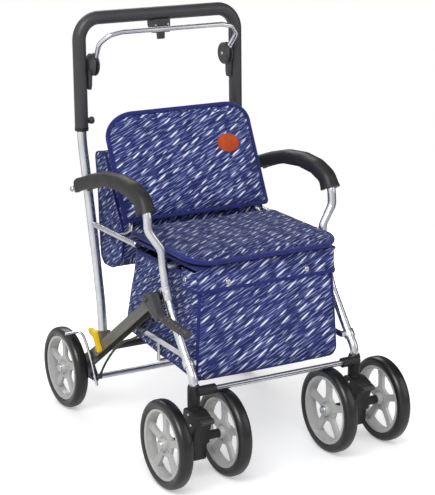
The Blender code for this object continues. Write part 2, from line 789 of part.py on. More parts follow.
BACK_CURVE = (
    (0.016, 0.025),
    (0.044, 0.074),
    (0.070, 0.124),
    (0.089, 0.172),
    (0.098, 0.212),
    (0.101, 0.244),
)  # behind the seat's hinge and above the rails
BACK_LINE = tuple((HINGE_Y + a, RAIL_Z + b) for a, b in BACK_CURVE)


def back_point(share, out=0.0):
    """A point on the backrest's middle line, a smooth curve through BACK_LINE, moved out behind it."""
    spans = len(BACK_LINE) - 1
    at = min(max(share * spans, 0), spans - 1e-6)
    k = int(at)
    t = at - k
    a, b, c, d = [Vector(BACK_LINE[min(max(i, 0), spans)]) for i in (k - 1, k, k + 1, k + 2)]
    here = smooth_between(a, b, c, d, t)
    along = 0.5 * ((c - a) + 2 * (2 * a - 5 * b + 4 * c - d) * t + 3 * (3 * b - a - 3 * c + d) * t**2)
    along.normalize()
    return Vector((here.x + along.y * out, here.y - along.x * out))


def behind_back(out, z):
    """The y at which a line a given distance behind the backrest passes a height."""
    low, high = 0.0, 1.0
    for _ in range(30):
        middle = (low + high) / 2
        if back_point(middle, out).y < z:
            low = middle
        else:
            high = middle
    return back_point(low, out).x


BACK_EDGE = 0.0025  # half thickness at the bound edge
BOW_TOP = 0.80  # share of the backrest's height
BOW_FOOT_Y = HINGE_Y + 0.022


def cushion(columns, rows, half_width, spine, thick):
    """A crowned pad. Spine gives a row's middle and its outward direction, thick the edge and crown of
    the (front, back) sheets."""
    sheets = ([], [])
    for j in range(rows + 1):
        v = 0.5 - 0.5 * cos(pi * j / rows)
        middle, out = spine(v)
        for i in range(columns + 1):
            u = -cos(pi * i / columns)
            crown = (max(0, 1 - abs(u) ** 5) * max(0, 1 - abs(2 * v - 1) ** 5)) ** 0.6
            x = u * half_width(v)
            for sheet, (edge, full) in zip(sheets, thick):
                sheet.append(Vector((x, 0, 0)) + middle + out * (edge + (full - edge) * crown))
    width = columns + 1
    points = sheets[0] + sheets[1]
    shift = len(sheets[0])
    faces = []
    for j in range(rows):
        for i in range(columns):
            a = j * width + i
            faces.append((a, a + 1, a + 1 + width, a + width))
            faces.append((a + shift, a + width + shift, a + 1 + width + shift, a + 1 + shift))
    rim = [i for i in range(columns)] + [columns + j * width for j in range(rows)]
    rim += [rows * width + i for i in range(columns, 0, -1)] + [j * width for j in range(rows, 0, -1)]
    for a, b in zip(rim, rim[1:] + rim[:1]):
        faces.append((a, b, b + shift, a + shift))
    return make(points, faces)


def rounded_width(full, corner, distance):
    """The half width of a pad with round corners, at a distance from its end."""
    if distance >= corner:
        return full
    return full - corner + (corner**2 - (corner - distance) ** 2) ** 0.5


def backrest_pad():
    height = sum((Vector(b) - Vector(a)).length for a, b in zip(BACK_LINE, BACK_LINE[1:]))

    def spine(v):
        here, behind = back_point(v), back_point(v, 1.0)
        out = Vector((0, behind.x - here.x, behind.y - here.y))
        return Vector((0, here.x, here.y)), out

    def half_width(v):
        return rounded_width(BACK_HALF, BACK_CORNER, (1 - v) * height)

    thick = ((-BACK_EDGE, -BACK_T / 2), (BACK_EDGE, BACK_T / 2))
    finish(cushion(12, 10, half_width, spine, thick), "backrest_pad", "upright", "indigo")


def backrest_bow():
    """The bent tube behind the backrest, standing on the two rails."""
    out = BACK_T / 2 + GAP + BOW_R
    heights = [back_point(s, out) for s in (0.12, 0.45)]
    top = back_point(BOW_TOP, out)
    foot = (BOW_FOOT_Y, RAIL_Z)
    right = [side_point(FRAME_X, foot), side_point(BOW_HALF, foot)]
    right += [side_point(BOW_HALF, p) for p in heights] + [side_point(BOW_HALF, top)]
    route = rounded(right + [Vector((-p.x, p.y, p.z)) for p in right[::-1]], 0.04, radians(45))
    bow = sweep(route, circle(BOW_R, 8), Vector((0.05, -0.8, 0.6)))
    finish(cut(bow, *rail_rooms(*foot, 0.0063)), "backrest_bow", "upright", "silver")


POUCH_CURVE = (
    (0.026, -0.084),
    (0.072, -0.088),
    (0.117, -0.086),
    (0.133, -0.071),
    (0.136, -0.016),
    (0.141, 0.072),
    (0.148, 0.124),
    (0.152, 0.149),
)
POUCH_BACK = tuple((HINGE_Y + a, RAIL_Z + b) for a, b in POUCH_CURVE)
POUCH_RISE = (0.159, 0.114, 0.064, 0.014)  # heights of the front wall above the rails


def past_bag(z):
    """The y at a height that still swings clear of the bag's rear edge when the uprights fold."""
    reach = hypot(FOLD_PIVOT[0] - BAG_REAR_TOP, FOLD_PIVOT[1] - BAG_TOP) - 0.0015
    return FOLD_PIVOT[0] - (reach**2 - (FOLD_PIVOT[1] - z) ** 2) ** 0.5


def rear_pouch():
    """The pocket behind the backrest, open at the top, with side panels that reach past the bag's sides."""
    out = BACK_T / 2 + 2 * BOW_R + 4 * GAP
    front = [(behind_back(out, RAIL_Z + rise), RAIL_Z + rise) for rise in POUCH_RISE]
    front.append((front[-1][0] - 0.0095, RAIL_Z - 0.010))
    foot = POUCH_BACK[0]
    knee = foot[1] + 0.030
    share = (front[-1][1] - knee) / (front[-1][1] - foot[1])
    lower = [(max(past_bag(knee), front[-1][0] + share * (foot[0] - front[-1][0])), knee)]
    lower.append((past_bag(foot[1]), foot[1]))
    outline = list(POUCH_BACK[1:]) + front + lower
    hollow = inset(outline, POUCH_WALL)
    hollow = [(a, b + (0.03 if b > RAIL_Z + 0.13 else 0)) for a, b in hollow]
    shell = prism(outline, -POUCH_HALF, POUCH_HALF)
    inside = prism(hollow, POUCH_WALL - POUCH_HALF, POUCH_HALF - POUCH_WALL)
    panel = prism(list(POUCH_BACK) + front, POUCH_HALF - POUCH_WALL, POUCH_HALF)
    finish(join(cut(shell, inside), panel, mirrored(panel)), "rear_pouch", "upright", "indigo")


SEAT_EDGE_Z = RAIL_Z + 0.011
SEAT_BULGE = 0.006
KNUCKLE_X = (0.100, 0.128)
KNUCKLE_R = 0.0068


def board_top():
    return BEARER_Z + BEARER_R + GAP + BOARD_T


def seat_board():
    """The board under the seat pad, with two hinge knuckles on the rod."""
    low, high = board_top() - BOARD_T, board_top()
    board = block((-BOARD_HALF, SEAT_FRONT + 0.012, low), (BOARD_HALF, SEAT_REAR - 0.008, high))
    pad = 0.5 * BOARD_T
    for side in (-1, 1):
        outline = hull([(HINGE_Y, HINGE_Z, KNUCKLE_R), (SEAT_REAR - 0.012, low + pad, 0.8 * pad)], 14)
        start, end = sorted(side * x for x in KNUCKLE_X)
        board = join(board, prism(outline, start, end))
    hole = rod((-BOARD_HALF, HINGE_Y, HINGE_Z), (BOARD_HALF, HINGE_Y, HINGE_Z), HINGE_R + RUN)
    finish(cut(board, hole), "seat_board", "seat", "charcoal")


def seat_pad():
    low = board_top() + GAP
    depth = SEAT_REAR - SEAT_FRONT

    def spine(v):
        return Vector((0, SEAT_FRONT + depth * v, SEAT_EDGE_Z)), Z

    def half_width(v):
        front = rounded_width(SEAT_HALF, SEAT_CORNER, depth * v)
        return min(front, rounded_width(SEAT_HALF, 0.012, depth * (1 - v)))

    thick = ((-0.003, low - SEAT_EDGE_Z), (0.003, low + SEAT_T - SEAT_EDGE_Z))
    pad = cushion(12, 10, half_width, spine, thick)
    for vertex in pad.data.vertices:
        share = max(0, 1 - (vertex.co.y - SEAT_FRONT) / (0.3 * depth))
        vertex.co.y -= SEAT_BULGE * share * max(0, 1 - (vertex.co.x / SEAT_HALF) ** 2)
    finish(pad, "seat_pad", "seat", "indigo")


BORE_DEPTH = 0.160
KNOB_R = 0.009
DRUM_OUT = FRAME_X - HANDLE_R - GAP - 0.0096  # the groove between the two discs of a brake hub
DRUM_IN = DRUM_OUT - 0.006
CAP_T = 0.0055
EYE_RING_R = 0.0085
CATCH_HALF = 0.008
BRACKET_HALF = 0.020


def handle():
    """The push handle, one bent tube whose arms slide on the uprights."""
    low, high = handle_axis(FRAME_X, HANDLE_BOTTOM), handle_axis(FRAME_X, HANDLE_Z)
    points = [low, high, Vector((-high.x, high.y, high.z)), Vector((-low.x, low.y, low.z))]
    path = rounded(points, HANDLE_CORNER_R, radians(15))
    across = SLIDE.cross(X)
    tube = sweep(path, circle(HANDLE_R, 14), across)
    for side in (-1, 1):
        start = handle_axis(side * FRAME_X, HANDLE_BOTTOM - 0.01)
        end = handle_axis(side * FRAME_X, HANDLE_BOTTOM + BORE_DEPTH)
        bore = sweep([start, end], circle(HANDLE_BORE_R, TUBE_SIDES), X)
        hole = handle_axis(side * FRAME_X, KNOB_Z)
        tube = cut(tube, bore, rod(hole, hole - X * side * 0.02, LOCK_PIN_R + 0.0004, 6))
    finish(tube, "handle", "handle", "charcoal")


def height_knob():
    """A sprung knob whose pin passes through the handle's wall into the slot of the upright."""
    seat = FRAME_X - HANDLE_R - GAP
    tip = FRAME_X - UPRIGHT_R + 0.0035
    profile = [
        (0.6 * KNOB_R, seat - 0.0135),
        (KNOB_R, seat - 0.0115),
        (KNOB_R, seat - 0.0055),
        (0.65 * KNOB_R, seat - 0.0045),
        (0.65 * KNOB_R, seat),
        (LOCK_PIN_R, seat),
        (LOCK_PIN_R, tip),
    ]
    centre = handle_axis(0, KNOB_Z)
    both_sides(lathe(profile, centre, X, 12), "height_knob", "height_knob", "charcoal")


def brake_hub():
    """A spool on the handle's arm, between whose discs the brake bar turns, with a small housing below."""
    seat = FRAME_X - HANDLE_R - GAP
    profile = [
        (0.6 * DRUM_R, DRUM_IN - CAP_T),
        (DRUM_R, DRUM_IN - 0.5 * CAP_T),
        (DRUM_R, DRUM_IN),
        (DRUM_PIN_R, DRUM_IN),
        (DRUM_PIN_R, DRUM_OUT),
        (DRUM_R, DRUM_OUT),
        (0.8 * DRUM_R, DRUM_OUT + 0.004),
        (0.5 * DRUM_R, seat),
    ]
    hub = lathe(profile, Vector((0, HUB_Y, HUB_Z)), X, 16)
    low = HUB_Z - DRUM_R
    housing = block((DRUM_OUT + 0.001, HUB_Y - 0.008, low - 0.028), (seat, HUB_Y + 0.009, low + 0.012))
    both_sides(join(hub, housing), "brake_hub", "handle", "charcoal")


def catch_bracket():
    """The block under the handle's middle, forked round the catch lever."""
    top = HANDLE_Z - HANDLE_R
    y0, y1 = HANDLE_Y - 0.0145, HANDLE_Y + 0.0145
    seat = HANDLE_R + GAP
    turns = [radians(a) for a in (-40, -20, 0, 20, 40)]
    arc = [(HANDLE_Y + seat * sin(a), HANDLE_Z - seat * cos(a)) for a in turns]
    outline = [(y0, arc[0][1])] + arc + [(y1, arc[0][1]), (y1 - 0.002, top - 0.012)]
    outline += [(CATCH_Y + 0.006, CATCH_Z - 0.006), (CATCH_Y - 0.005, CATCH_Z - 0.006), (y0, CATCH_Z + 0.004)]
    base = prism(outline, -BRACKET_HALF, BRACKET_HALF)
    half = CATCH_HALF + GAP
    slot = block((-half, CATCH_Y - 0.0105, CATCH_Z - 0.02), (half, CATCH_Y + 0.0075, CATCH_Z + 0.0075))
    hole = rod((-half - 0.007, CATCH_Y, CATCH_Z), (half + 0.007, CATCH_Y, CATCH_Z), 0.0018 + RUN, 10)
    finish(cut(base, slot, hole), "catch_bracket", "handle", "charcoal")


def brake_catch():
    """The small lever that holds the brake bar in, on its own pin."""
    outline = hull([(CATCH_Y, CATCH_Z, 0.0055), (CATCH_Y - 0.0015, CATCH_Z - 0.017, 0.0030)], 12)
    lever = prism(outline, -CATCH_HALF, CATCH_HALF)
    pin = rod((-CATCH_HALF - 0.0065, CATCH_Y, CATCH_Z), (CATCH_HALF + 0.0065, CATCH_Y, CATCH_Z), 0.0018, 10)
    finish(join(lever, pin), "brake_catch", "brake_catch", "charcoal")


def brake_bar():
    """The bar under the handle that both hands squeeze, with an eye in each hub."""
    hub = Vector((0, HUB_Y, HUB_Z))
    reach = Vector((0, -0.70, 0.714)).normalized()
    neck = hub + reach * (DRUM_R + 0.0035)
    middle = (DRUM_IN + DRUM_OUT) / 2
    right = [
        neck + X * middle,
        Vector((middle + 0.004, BAR_TOP_Y + 0.013, BAR_TOP_Z - 0.0225)),
        Vector((middle - 0.0135, BAR_TOP_Y + 0.002, BAR_TOP_Z - 0.0055)),
        Vector((middle - 0.0405, BAR_TOP_Y, BAR_TOP_Z)),
    ]
    route = rounded(right + [Vector((-p.x, p.y, p.z)) for p in right[::-1]], 0.02, radians(30))
    bar = sweep(route, circle(BAR_R, 8), Vector((0.1, 0.75, 0.65)))
    for side in (-1, 1):
        start, end = sorted((side * (DRUM_IN + GAP), side * (DRUM_OUT - GAP)))
        end_at = neck + reach * 0.004
        eye = prism(hull([(hub.y, hub.z, EYE_RING_R), (end_at.y, end_at.z, BAR_R)], 14), start, end)
        bar = join(bar, eye)
    hole = rod((-FRAME_X, hub.y, hub.z), (FRAME_X, hub.y, hub.z), DRUM_PIN_R + RUN, 14)
    finish(cut(bar, hole), "brake_bar", "brake_bar", "silver")


def rear_leg():
    """A channel open below, with rounded cheeks round the pivot pin."""
    half = CHANNEL_H / 2
    end = LEG_LENGTH + 0.004
    nose = [(CHEEK_R * cos(a), CHEEK_R * sin(a)) for a in (radians(58 + 20.4 * k) for k in range(13))]
    nose = [(a, min(b, half)) for a, b in nose]
    outline = nose + [(0.011, -half), (end - 0.004, -half), (end, -half + 0.004)]
    outline += [(end, half - 0.004), (end - 0.004, half)]
    leg = leg_prism(outline, INNER_CHEEK, OUTER_CHEEK)
    roof = half - CHANNEL_WALL
    room = [(-0.03, -0.03), (end + 0.01, -0.03), (end + 0.01, roof), (-0.03, roof)]
    leg = cut(leg, leg_prism(room, INNER_CHEEK + CHANNEL_WALL, OUTER_CHEEK - CHANNEL_WALL))
    inside, outside = FRAME_X - 0.03, FRAME_X + 0.03
    pivot = rod(side_point(inside, LEG_PIVOT), side_point(outside, LEG_PIVOT), PIVOT_R + RUN, 14)
    lock_ends = [leg_point(x, LOCK_S, LOCK_H) for x in (FRAME_X, outside)]
    lock = rod(*lock_ends, LOCK_PIN_R + RUN, 10)
    both_sides(cut(leg, pivot, lock), "rear_leg", "rear_legs", "olive")


def rear_cross_tube():
    centre = leg_point(0, CROSS_S, CROSS_H)
    end = X * (INNER_CHEEK - GAP)
    finish(rod(centre - end, centre + end, CROSS_TUBE_R), "rear_cross_tube", "rear_legs", "charcoal")


PLATE_REACH = 0.085  # up the leg from the axle
PLATE_RISE = 0.002
PLATE_END_R = 0.012
PLATE_TOP_R = 0.008
SHAFT_EYE_R = 0.0105
SPINDLE_COLLAR_R = 0.008


def rear_bracket():
    """The plate at the leg's lower end, with the wheel's spindle and a bearing for the brake shaft."""
    inside, outside = OUTER_CHEEK + GAP, OUTER_CHEEK + GAP + PLATE_T
    upper = leg_point(0, LEG_LENGTH - PLATE_REACH, PLATE_RISE)
    outline = hull([(*REAR_AXLE, PLATE_END_R), (*SHAFT, SHAFT_EYE_R), (upper.y, upper.z, PLATE_TOP_R)], 12)
    near, far = REAR_WHEEL_X - TYRE_W / 2 - GAP, REAR_WHEEL_X + TYRE_W / 2 + GAP
    profile = [
        (SPINDLE_COLLAR_R, inside + PLATE_T / 2),
        (SPINDLE_COLLAR_R, near),
        (AXLE_R, near),
        (AXLE_R, far),
        (AXLE_HEAD_R, far),
        (0.8 * AXLE_HEAD_R, far + AXLE_HEAD_T),
    ]
    spindle = lathe(profile, side_point(0, REAR_AXLE), X, 14)
    lug = prism(hull([(*CABLE_STOP, CABLE_STOP_R)], 12), inside, CABLE_X + CABLE_R + GAP)
    web = prism(hull([(*CABLE_STOP, CABLE_STOP_R), (*SHAFT, CABLE_STOP_R)], 12), inside, outside)
    plate = join(prism(outline, inside, outside), web, lug, spindle)
    hole = rod(side_point(inside - 0.01, SHAFT), side_point(outside + 0.01, SHAFT), SHAFT_R + RUN, 14)
    both_sides(cut(plate, hole), "rear_bracket", "rear_legs", "charcoal")


SHAFT_END = OUTER_CHEEK + 0.0104
ARM_ROD_R = 0.0028
ARM_ROD_X = OUTER_CHEEK + 0.0069
SHOE_OUT = REAR_WHEEL_X + 0.0168


def shoe_point(x):
    """The middle of the brake's bar above the tread."""
    out = Vector((-SHOE_AHEAD, (WHEEL_R**2 - SHOE_AHEAD**2) ** 0.5)).normalized()
    out *= WHEEL_R + SHOE_OFF + ARM_ROD_R
    return Vector((x, REAR_AXLE_Y + out.x, WHEEL_R + out.y))


def brake_shaft():
    """The shaft between the rear brackets, with a bent rod at each end that presses on the tyre."""
    shaft = rod(side_point(-SHAFT_END, SHAFT), side_point(SHAFT_END, SHAFT), SHAFT_R, 14)
    y, z = SHAFT
    arm = [(y + 0.046, z + 0.078), (y + 0.031, z + 0.063), (y + 0.008, z + 0.028)]
    arm += [(y - 0.002, z + 0.010), (y - 0.015, z - 0.014)]
    for side in (-1, 1):
        points = [shoe_point(side * SHOE_OUT), shoe_point(side * ARM_ROD_X)]
        points += [side_point(side * ARM_ROD_X, p) for p in arm]
        bent = sweep(rounded(points, 0.008, radians(24)), circle(ARM_ROD_R, 8), Vector((0, 0.84, -0.54)))
        shaft = join(shaft, bent)
    finish(shaft, "brake_shaft", "brake_shaft", "silver")


def fold_lock():
    """The lever on the rear leg, whose inner nose stands behind the upright and keeps the frame open."""
    s, h = LOCK_S, LOCK_H
    outline = [
        (s - 0.0075, h),
        (s - 0.0053, h - 0.0053),
        (s, h - 0.0075),
        (s + 0.0053, h - 0.0053),
        (s + 0.0075, h),
        (s + 0.0040, h + 0.014),
        (s + 0.0040, h + 0.028),
        (s + 0.0150, h + 0.040),
        (s + 0.0175, h + 0.050),
        (s + 0.0110, h + 0.052),
        (s - 0.0010, h + 0.043),
        (s - 0.0090, h + 0.034),
        (s - 0.0085, h + 0.022),
        (s - 0.0055, h + 0.012),
    ]
    inside = OUTER_CHEEK + GAP
    lever = leg_prism(corners(outline, 0.002, radians(45)), inside, inside + 0.008)
    pin = rod(leg_point(inside - CHANNEL_WALL - 0.003, s, h), leg_point(inside + 0.004, s, h), LOCK_PIN_R, 10)
    nose = [(s + 0.0025, h + 0.0385), (s + 0.0055, h + 0.0345)]
    nose += [(s + 0.0105, h + 0.0385), (s + 0.0085, h + 0.0435)]
    catch = leg_prism(nose, FRAME_X + 0.003, inside + 0.004)
    both_sides(join(lever, pin, catch), "fold_lock", "fold_lock", "yellow")


# The cable's points from the leg's pivot
CABLE = (
    (0.003, -0.045),
    (0.045, -0.082),
    (0.089, -0.108),
    (0.125, -0.124),
    (0.163, -0.148),
    (0.194, -0.175),
    (0.224, -0.208),
)


def brake_cable():
    """The cable under the left rear leg, from the parking lever to the brake's arm."""
    knots = [side_point(-CABLE_X, (LEG_PIVOT[0] + a, LEG_PIVOT[1] + b)) for a, b in CABLE]
    stop = side_point(-CABLE_X, CABLE_STOP)
    knots.append(stop + Vector((0, -0.5, 0.866)) * (CABLE_STOP_R + 2 * GAP))
    last = len(knots) - 1
    points = []
    for i in range(last):
        a, b, c, d = [knots[min(max(k, 0), last)] for k in (i - 1, i, i + 1, i + 2)]
        steps = max(2, round((c - b).length / (5.5 * CABLE_R)))
        for t in (k / steps for k in range(steps)):
            points.append(smooth_between(a, b, c, d, t))
    points.append(knots[-1])
    curve = bpy.data.curves.new("brake_cable", "CURVE")
    curve.dimensions = "3D"
    curve.bevel_depth = CABLE_R
    curve.bevel_resolution = 2
    curve.use_fill_caps = True
    spline = curve.splines.new("POLY")
    spline.points.add(len(points) - 1)
    empty, pivot = BODIES["rear_legs"]
    for point, here in zip(spline.points, points):
        point.co = (*(here - pivot), 1)
    curve.materials.append(PAINTS["rubber"])
    obj = bpy.data.objects.new("brake_cable", curve)
    bpy.context.scene.collection.objects.link(obj)
    obj.parent = empty


def tyre_mesh():
    """A tyre round X, with a narrow flat tread."""
    half, inner = TYRE_W / 2, WHEEL_R - TYRE_DEPTH
    rows = [(inner, 0.82 * half), (inner + 0.45 * TYRE_DEPTH, half), (WHEEL_R, 0.45 * half)]
    profile = [(flat(r), h) for r, h in rows] + [(flat(r), -h) for r, h in rows[::-1]]
    return lathe(profile, Vector(), X, WHEEL_SIDES, ring=True)


def rim_mesh():
    """A rim with a flanged band, tapered spokes with curved sides and a hub, bored for its axle."""
    half, band = RIM_W / 2, RIM_R - RIM_BAND
    profile = [(flat(RIM_R), half), (flat(RIM_R), -half), (flat(band), -half), (flat(band), half)]
    ring = lathe(profile, Vector(), X, WHEEL_SIDES, ring=True)
    hub = rod((-TYRE_W / 2, 0, 0), (TYRE_W / 2, 0, 0), HUB_R, 10)
    web = []
    for k in range(SPOKES):
        gap_at = 2 * pi * (k + 0.5) / SPOKES + pi / 2
        for t in (-1, -0.8, -0.35, 0.35, 0.8, 1):
            wide = radians(28.0) * abs(t) ** 0.4 * (1 if t > 0 else -1)
            radius = band + 0.003 - (band + 0.003 - 1.75 * HUB_R) * (1 - abs(t) ** 3.2) ** 0.8
            web.append((radius * cos(gap_at + wide), radius * sin(gap_at + wide)))
    star = prism(web, -SPOKE_T / 2, SPOKE_T / 2)
    bore = rod((-TYRE_W, 0, 0), (TYRE_W, 0, 0), BORE_R, 10)
    return cut(join(ring, star, hub), bore)


def wheels():
    tyre, rim = tyre_mesh(), rim_mesh()
    for side, sign in (("right", 1), ("left", -1)):
        spots = [(f"rear_wheel_{side}", sign * REAR_WHEEL_X, REAR_AXLE_Y)]
        for where, off in (("inner", -TWIN_OFFSET), ("outer", TWIN_OFFSET)):
            spots.append((f"front_wheel_{side}_{where}", sign * (FRAME_X + off), FRONT_AXLE_Y))
        for name, x, y in spots:
            centre = Vector((x, y, WHEEL_R))
            carrier = name
            placed(tyre.data, name + "_tyre", carrier, centre, "rubber")
            placed(rim.data, name + "_rim", carrier, centre, "rim")
    for shape, colour in ((tyre, "rubber"), (rim, "rim")):
        shape.data.shade_smooth()
        shape.data.set_sharp_from_angle(angle=radians(32))
        bpy.data.objects.remove(shape)


def caster_yoke():
    """The block between a caster's two wheels, with its stem, its axle and the ears of the lock tab."""
    y, z = SWIVEL_Y, SOCKET_BOTTOM - GAP
    profile = [(SOCKET_R, z - 0.016), (SOCKET_R, z), (STEM_R, z), (STEM_R, STEM_TOP)]
    stem = lathe(profile, Vector((FRAME_X, y, 0)), Z, PIN_SIDES)
    half = YOKE_HALF
    tab_y = y - LOCK_REACH
    clear = TAB_R + GAP + 0.0007
    head = [
        (y + 0.011, z - 0.003),
        (y - 0.016, z - 0.003),
        (tab_y + clear + 0.001, z - 0.011),
        (tab_y + clear, LOCK_Z - 0.010),
        (FRONT_AXLE_Y - 0.024, WHEEL_R + 0.016),
        (FRONT_AXLE_Y - 0.024, WHEEL_R - 0.008),
        (y + 0.009, WHEEL_R - 0.008),
        (y + 0.014, LOCK_Z - 0.010),
    ]
    skirt = [
        (FRONT_AXLE_Y - 0.022, WHEEL_R + 0.004),
        (y + 0.007, WHEEL_R + 0.004),
        (y + 0.005, WHEEL_R - 0.0385),
        (FRONT_AXLE_Y - 0.018, WHEEL_R - 0.0415),
    ]
    block_up = prism(corners(head, 0.004, radians(70)), FRAME_X - half, FRAME_X + half)
    plate = prism(corners(skirt, 0.006, radians(60)), FRAME_X - 0.75 * half, FRAME_X + 0.75 * half)
    near, far = TWIN_OFFSET - TYRE_W / 2 - GAP, TWIN_OFFSET + TYRE_W / 2 + GAP
    run = [(0.8 * AXLE_HEAD_R, -far - AXLE_HEAD_T), (AXLE_HEAD_R, -far), (AXLE_R, -far), (AXLE_R, -near)]
    run.append((0.009, -near))
    axle = lathe(run + [(r, -h) for r, h in run[::-1]], Vector((FRAME_X, FRONT_AXLE_Y, WHEEL_R)), X, 10)
    yoke = join(stem, block_up, plate, axle)
    ear = hull([(tab_y, LOCK_Z, 0.0055), (tab_y + 0.016, LOCK_Z, 0.0065)], 8)
    for sign in (-1, 1):
        start, end = sorted((FRAME_X + sign * (half - 0.003), FRAME_X + sign * half))
        yoke = join(yoke, prism(ear, start, end))
    hole = rod((FRAME_X - 0.03, tab_y, LOCK_Z), (FRAME_X + 0.03, tab_y, LOCK_Z), 0.002 + RUN, 8)
    both_sides(cut(yoke, hole), "caster_yoke", "caster", "charcoal")


def caster_lock():
    """The foot tab in front of a caster, a barrel with a short paddle, pinned in the yoke's ears."""
    tab_y = SWIVEL_Y - LOCK_REACH
    half = YOKE_HALF - 0.003 - GAP
    barrel = rod((FRAME_X - half, tab_y, LOCK_Z), (FRAME_X + half, tab_y, LOCK_Z), TAB_R, 12)
    outline = [
        (tab_y, LOCK_Z + 0.004),
        (tab_y - 0.011, LOCK_Z + 0.0055),
        (tab_y - 0.0125, LOCK_Z + 0.002),
        (tab_y, LOCK_Z - 0.001),
    ]
    paddle = prism(corners(outline, 0.001), FRAME_X - half, FRAME_X + half)
    pin = rod((FRAME_X - half - 0.0025, tab_y, LOCK_Z), (FRAME_X + half + 0.0025, tab_y, LOCK_Z), 0.002, 8)
    both_sides(join(barrel, paddle, pin), "caster_lock", "caster_lock", "charcoal")


LEVER_BODY = ((0, 0, 0.0125), (-0.018, 0.008, 0.010), (-0.044, -0.024, 0.0085))  # from the pivot
GRIP_ROOT = (-0.040, -0.021)
GRIP_TIP = (-0.155, -0.030)
GRIP_RIBS = 6
GRIP_START = 0.026
GRIP_PITCH = 0.014
GRIP_CORE_R = 0.0078
GRIP_RIB_R = 0.0094
GRIP_ROUND = 0.003


def parking_lever():
    """The lever on the left pivot: a body behind the leg and a ribbed grip in front of it."""
    y, z = LEG_PIVOT
    start, end = LEVER_IN, LEVER_IN + LEVER_T
    outline = hull([(y + a, z + b, r) for a, b, r in LEVER_BODY], 14)
    body_shape = prism(outline, start, end)
    root, tip = [side_point((start + end) / 2, (y + a, z + b)) for a, b in (GRIP_ROOT, GRIP_TIP)]
    length = (tip - root).length
    ribs = [(0.92 * GRIP_CORE_R, 0.0)]
    for k in range(GRIP_RIBS):
        at = GRIP_START + k * GRIP_PITCH
        ribs += [(GRIP_CORE_R, at), (GRIP_RIB_R, at + 0.1 * GRIP_PITCH)]
        ribs += [(GRIP_RIB_R, at + 0.68 * GRIP_PITCH), (GRIP_CORE_R, at + 0.78 * GRIP_PITCH)]
    ribs += [(GRIP_RIB_R, length - GRIP_ROUND), (GRIP_RIB_R - GRIP_ROUND, length)]
    along = (tip - root).normalized()
    grip = lathe(ribs, root, along, 8)
    lever = join(body_shape, grip)
    hole = rod(side_point(start - 0.01, LEG_PIVOT), side_point(end + 0.01, LEG_PIVOT), PIVOT_R + RUN, 14)
    finish(mirrored_only(cut(lever, hole)), "parking_lever", "parking_lever", "charcoal")


def mirrored_only(obj):
    copy = mirrored(obj)
    bpy.data.objects.remove(obj)
    return copy


def bodies():
    """One empty for each moving body, on its joint's axis."""
    body("frame", (0, 0, 0))
    body("upright", side_point(0, FOLD_PIVOT), "frame")
    body("seat", (0, HINGE_Y, HINGE_Z), "upright")
    body("handle", handle_axis(0, HANDLE_BOTTOM), "upright")
    body("brake_bar", (0, HUB_Y, HUB_Z), "handle")
    body("brake_catch", (0, CATCH_Y, CATCH_Z), "handle")
    body("rear_legs", side_point(0, LEG_PIVOT), "frame")
    body("brake_shaft", side_point(0, SHAFT), "rear_legs")
    body("parking_lever", side_point(-LEVER_IN, LEG_PIVOT), "frame")
    for side, sign in (("right", 1), ("left", -1)):
        tab = Vector((sign * FRAME_X, SWIVEL_Y - LOCK_REACH, LOCK_Z))
        body(f"height_knob_{side}", handle_axis(sign * FRAME_X, KNOB_Z), "handle")
        body(f"fold_lock_{side}", leg_point(sign * OUTER_CHEEK, LOCK_S, LOCK_H), "rear_legs")
        body(f"rear_wheel_{side}", (sign * REAR_WHEEL_X, REAR_AXLE_Y, WHEEL_R), "rear_legs")
        body(f"caster_{side}", (sign * FRAME_X, SWIVEL_Y, SOCKET_BOTTOM), "frame")
        body(f"caster_lock_{side}", tab, f"caster_{side}")
        for where, off in (("inner", -TWIN_OFFSET), ("outer", TWIN_OFFSET)):
            centre = (sign * (FRAME_X + off), FRONT_AXLE_Y, WHEEL_R)
            body(f"front_wheel_{side}_{where}", centre, f"caster_{side}")


def main():
    for obj in list(bpy.data.objects):
        bpy.data.objects.remove(obj, do_unlink=True)
    PAINTS.update(
        silver=paint("silver", (0.78, 0.79, 0.81), 0.3, 0.9),
        steel=paint("steel", (0.62, 0.62, 0.64), 0.35, 0.9),
        charcoal=paint("charcoal", (0.045, 0.046, 0.05), 0.5),
        olive=paint("olive", (0.11, 0.11, 0.10), 0.4, 0.3),
        indigo=paint("indigo", (0.04, 0.05, 0.22), 0.9),
        rubber=paint("rubber", (0.02, 0.02, 0.022), 0.7),
        rim=paint("rim", (0.72, 0.72, 0.70), 0.45),
        yellow=paint("yellow", (0.90, 0.70, 0.02), 0.4),
    )
    bodies()
    front_frame()
    armrest_pad()
    armrest_bolt()
    finish(leg_bracket(False), "leg_bracket_right", "frame", "charcoal")
    finish(mirrored_only(leg_bracket(True)), "leg_bracket_left", "frame", "charcoal")
    caster_socket()
    front_crossbar()
    seat_bearer()
    bag_carrier()
    shopping_bag()
    bag_flap()
    upright()
    seat_rail()
    seat_hinge_rod()
    backrest_bow()
    backrest_pad()
    rear_pouch()
    seat_board()
    seat_pad()
    handle()
    height_knob()
    brake_hub()
    catch_bracket()
    brake_catch()
    brake_bar()
    rear_leg()
    rear_cross_tube()
    rear_bracket()
    brake_shaft()
    fold_lock()
    brake_cable()
    wheels()
    caster_yoke()
    caster_lock()
    parking_lever()


main()
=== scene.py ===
"""Dresses the shopping rollator: its cloth, tubes, wheels and small fittings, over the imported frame.

Metres, +Z up. The rollator faces -Y, and "left" is the -X side, as seen from the front.
"""

import json
import logging
from dataclasses import dataclass
from enum import Enum
from math import ceil, cos, hypot, pi, radians, sin, tan
from typing import Callable, Sequence

import bmesh
import bpy
from mathutils import Matrix, Vector, noise
from mathutils.bvhtree import BVHTree

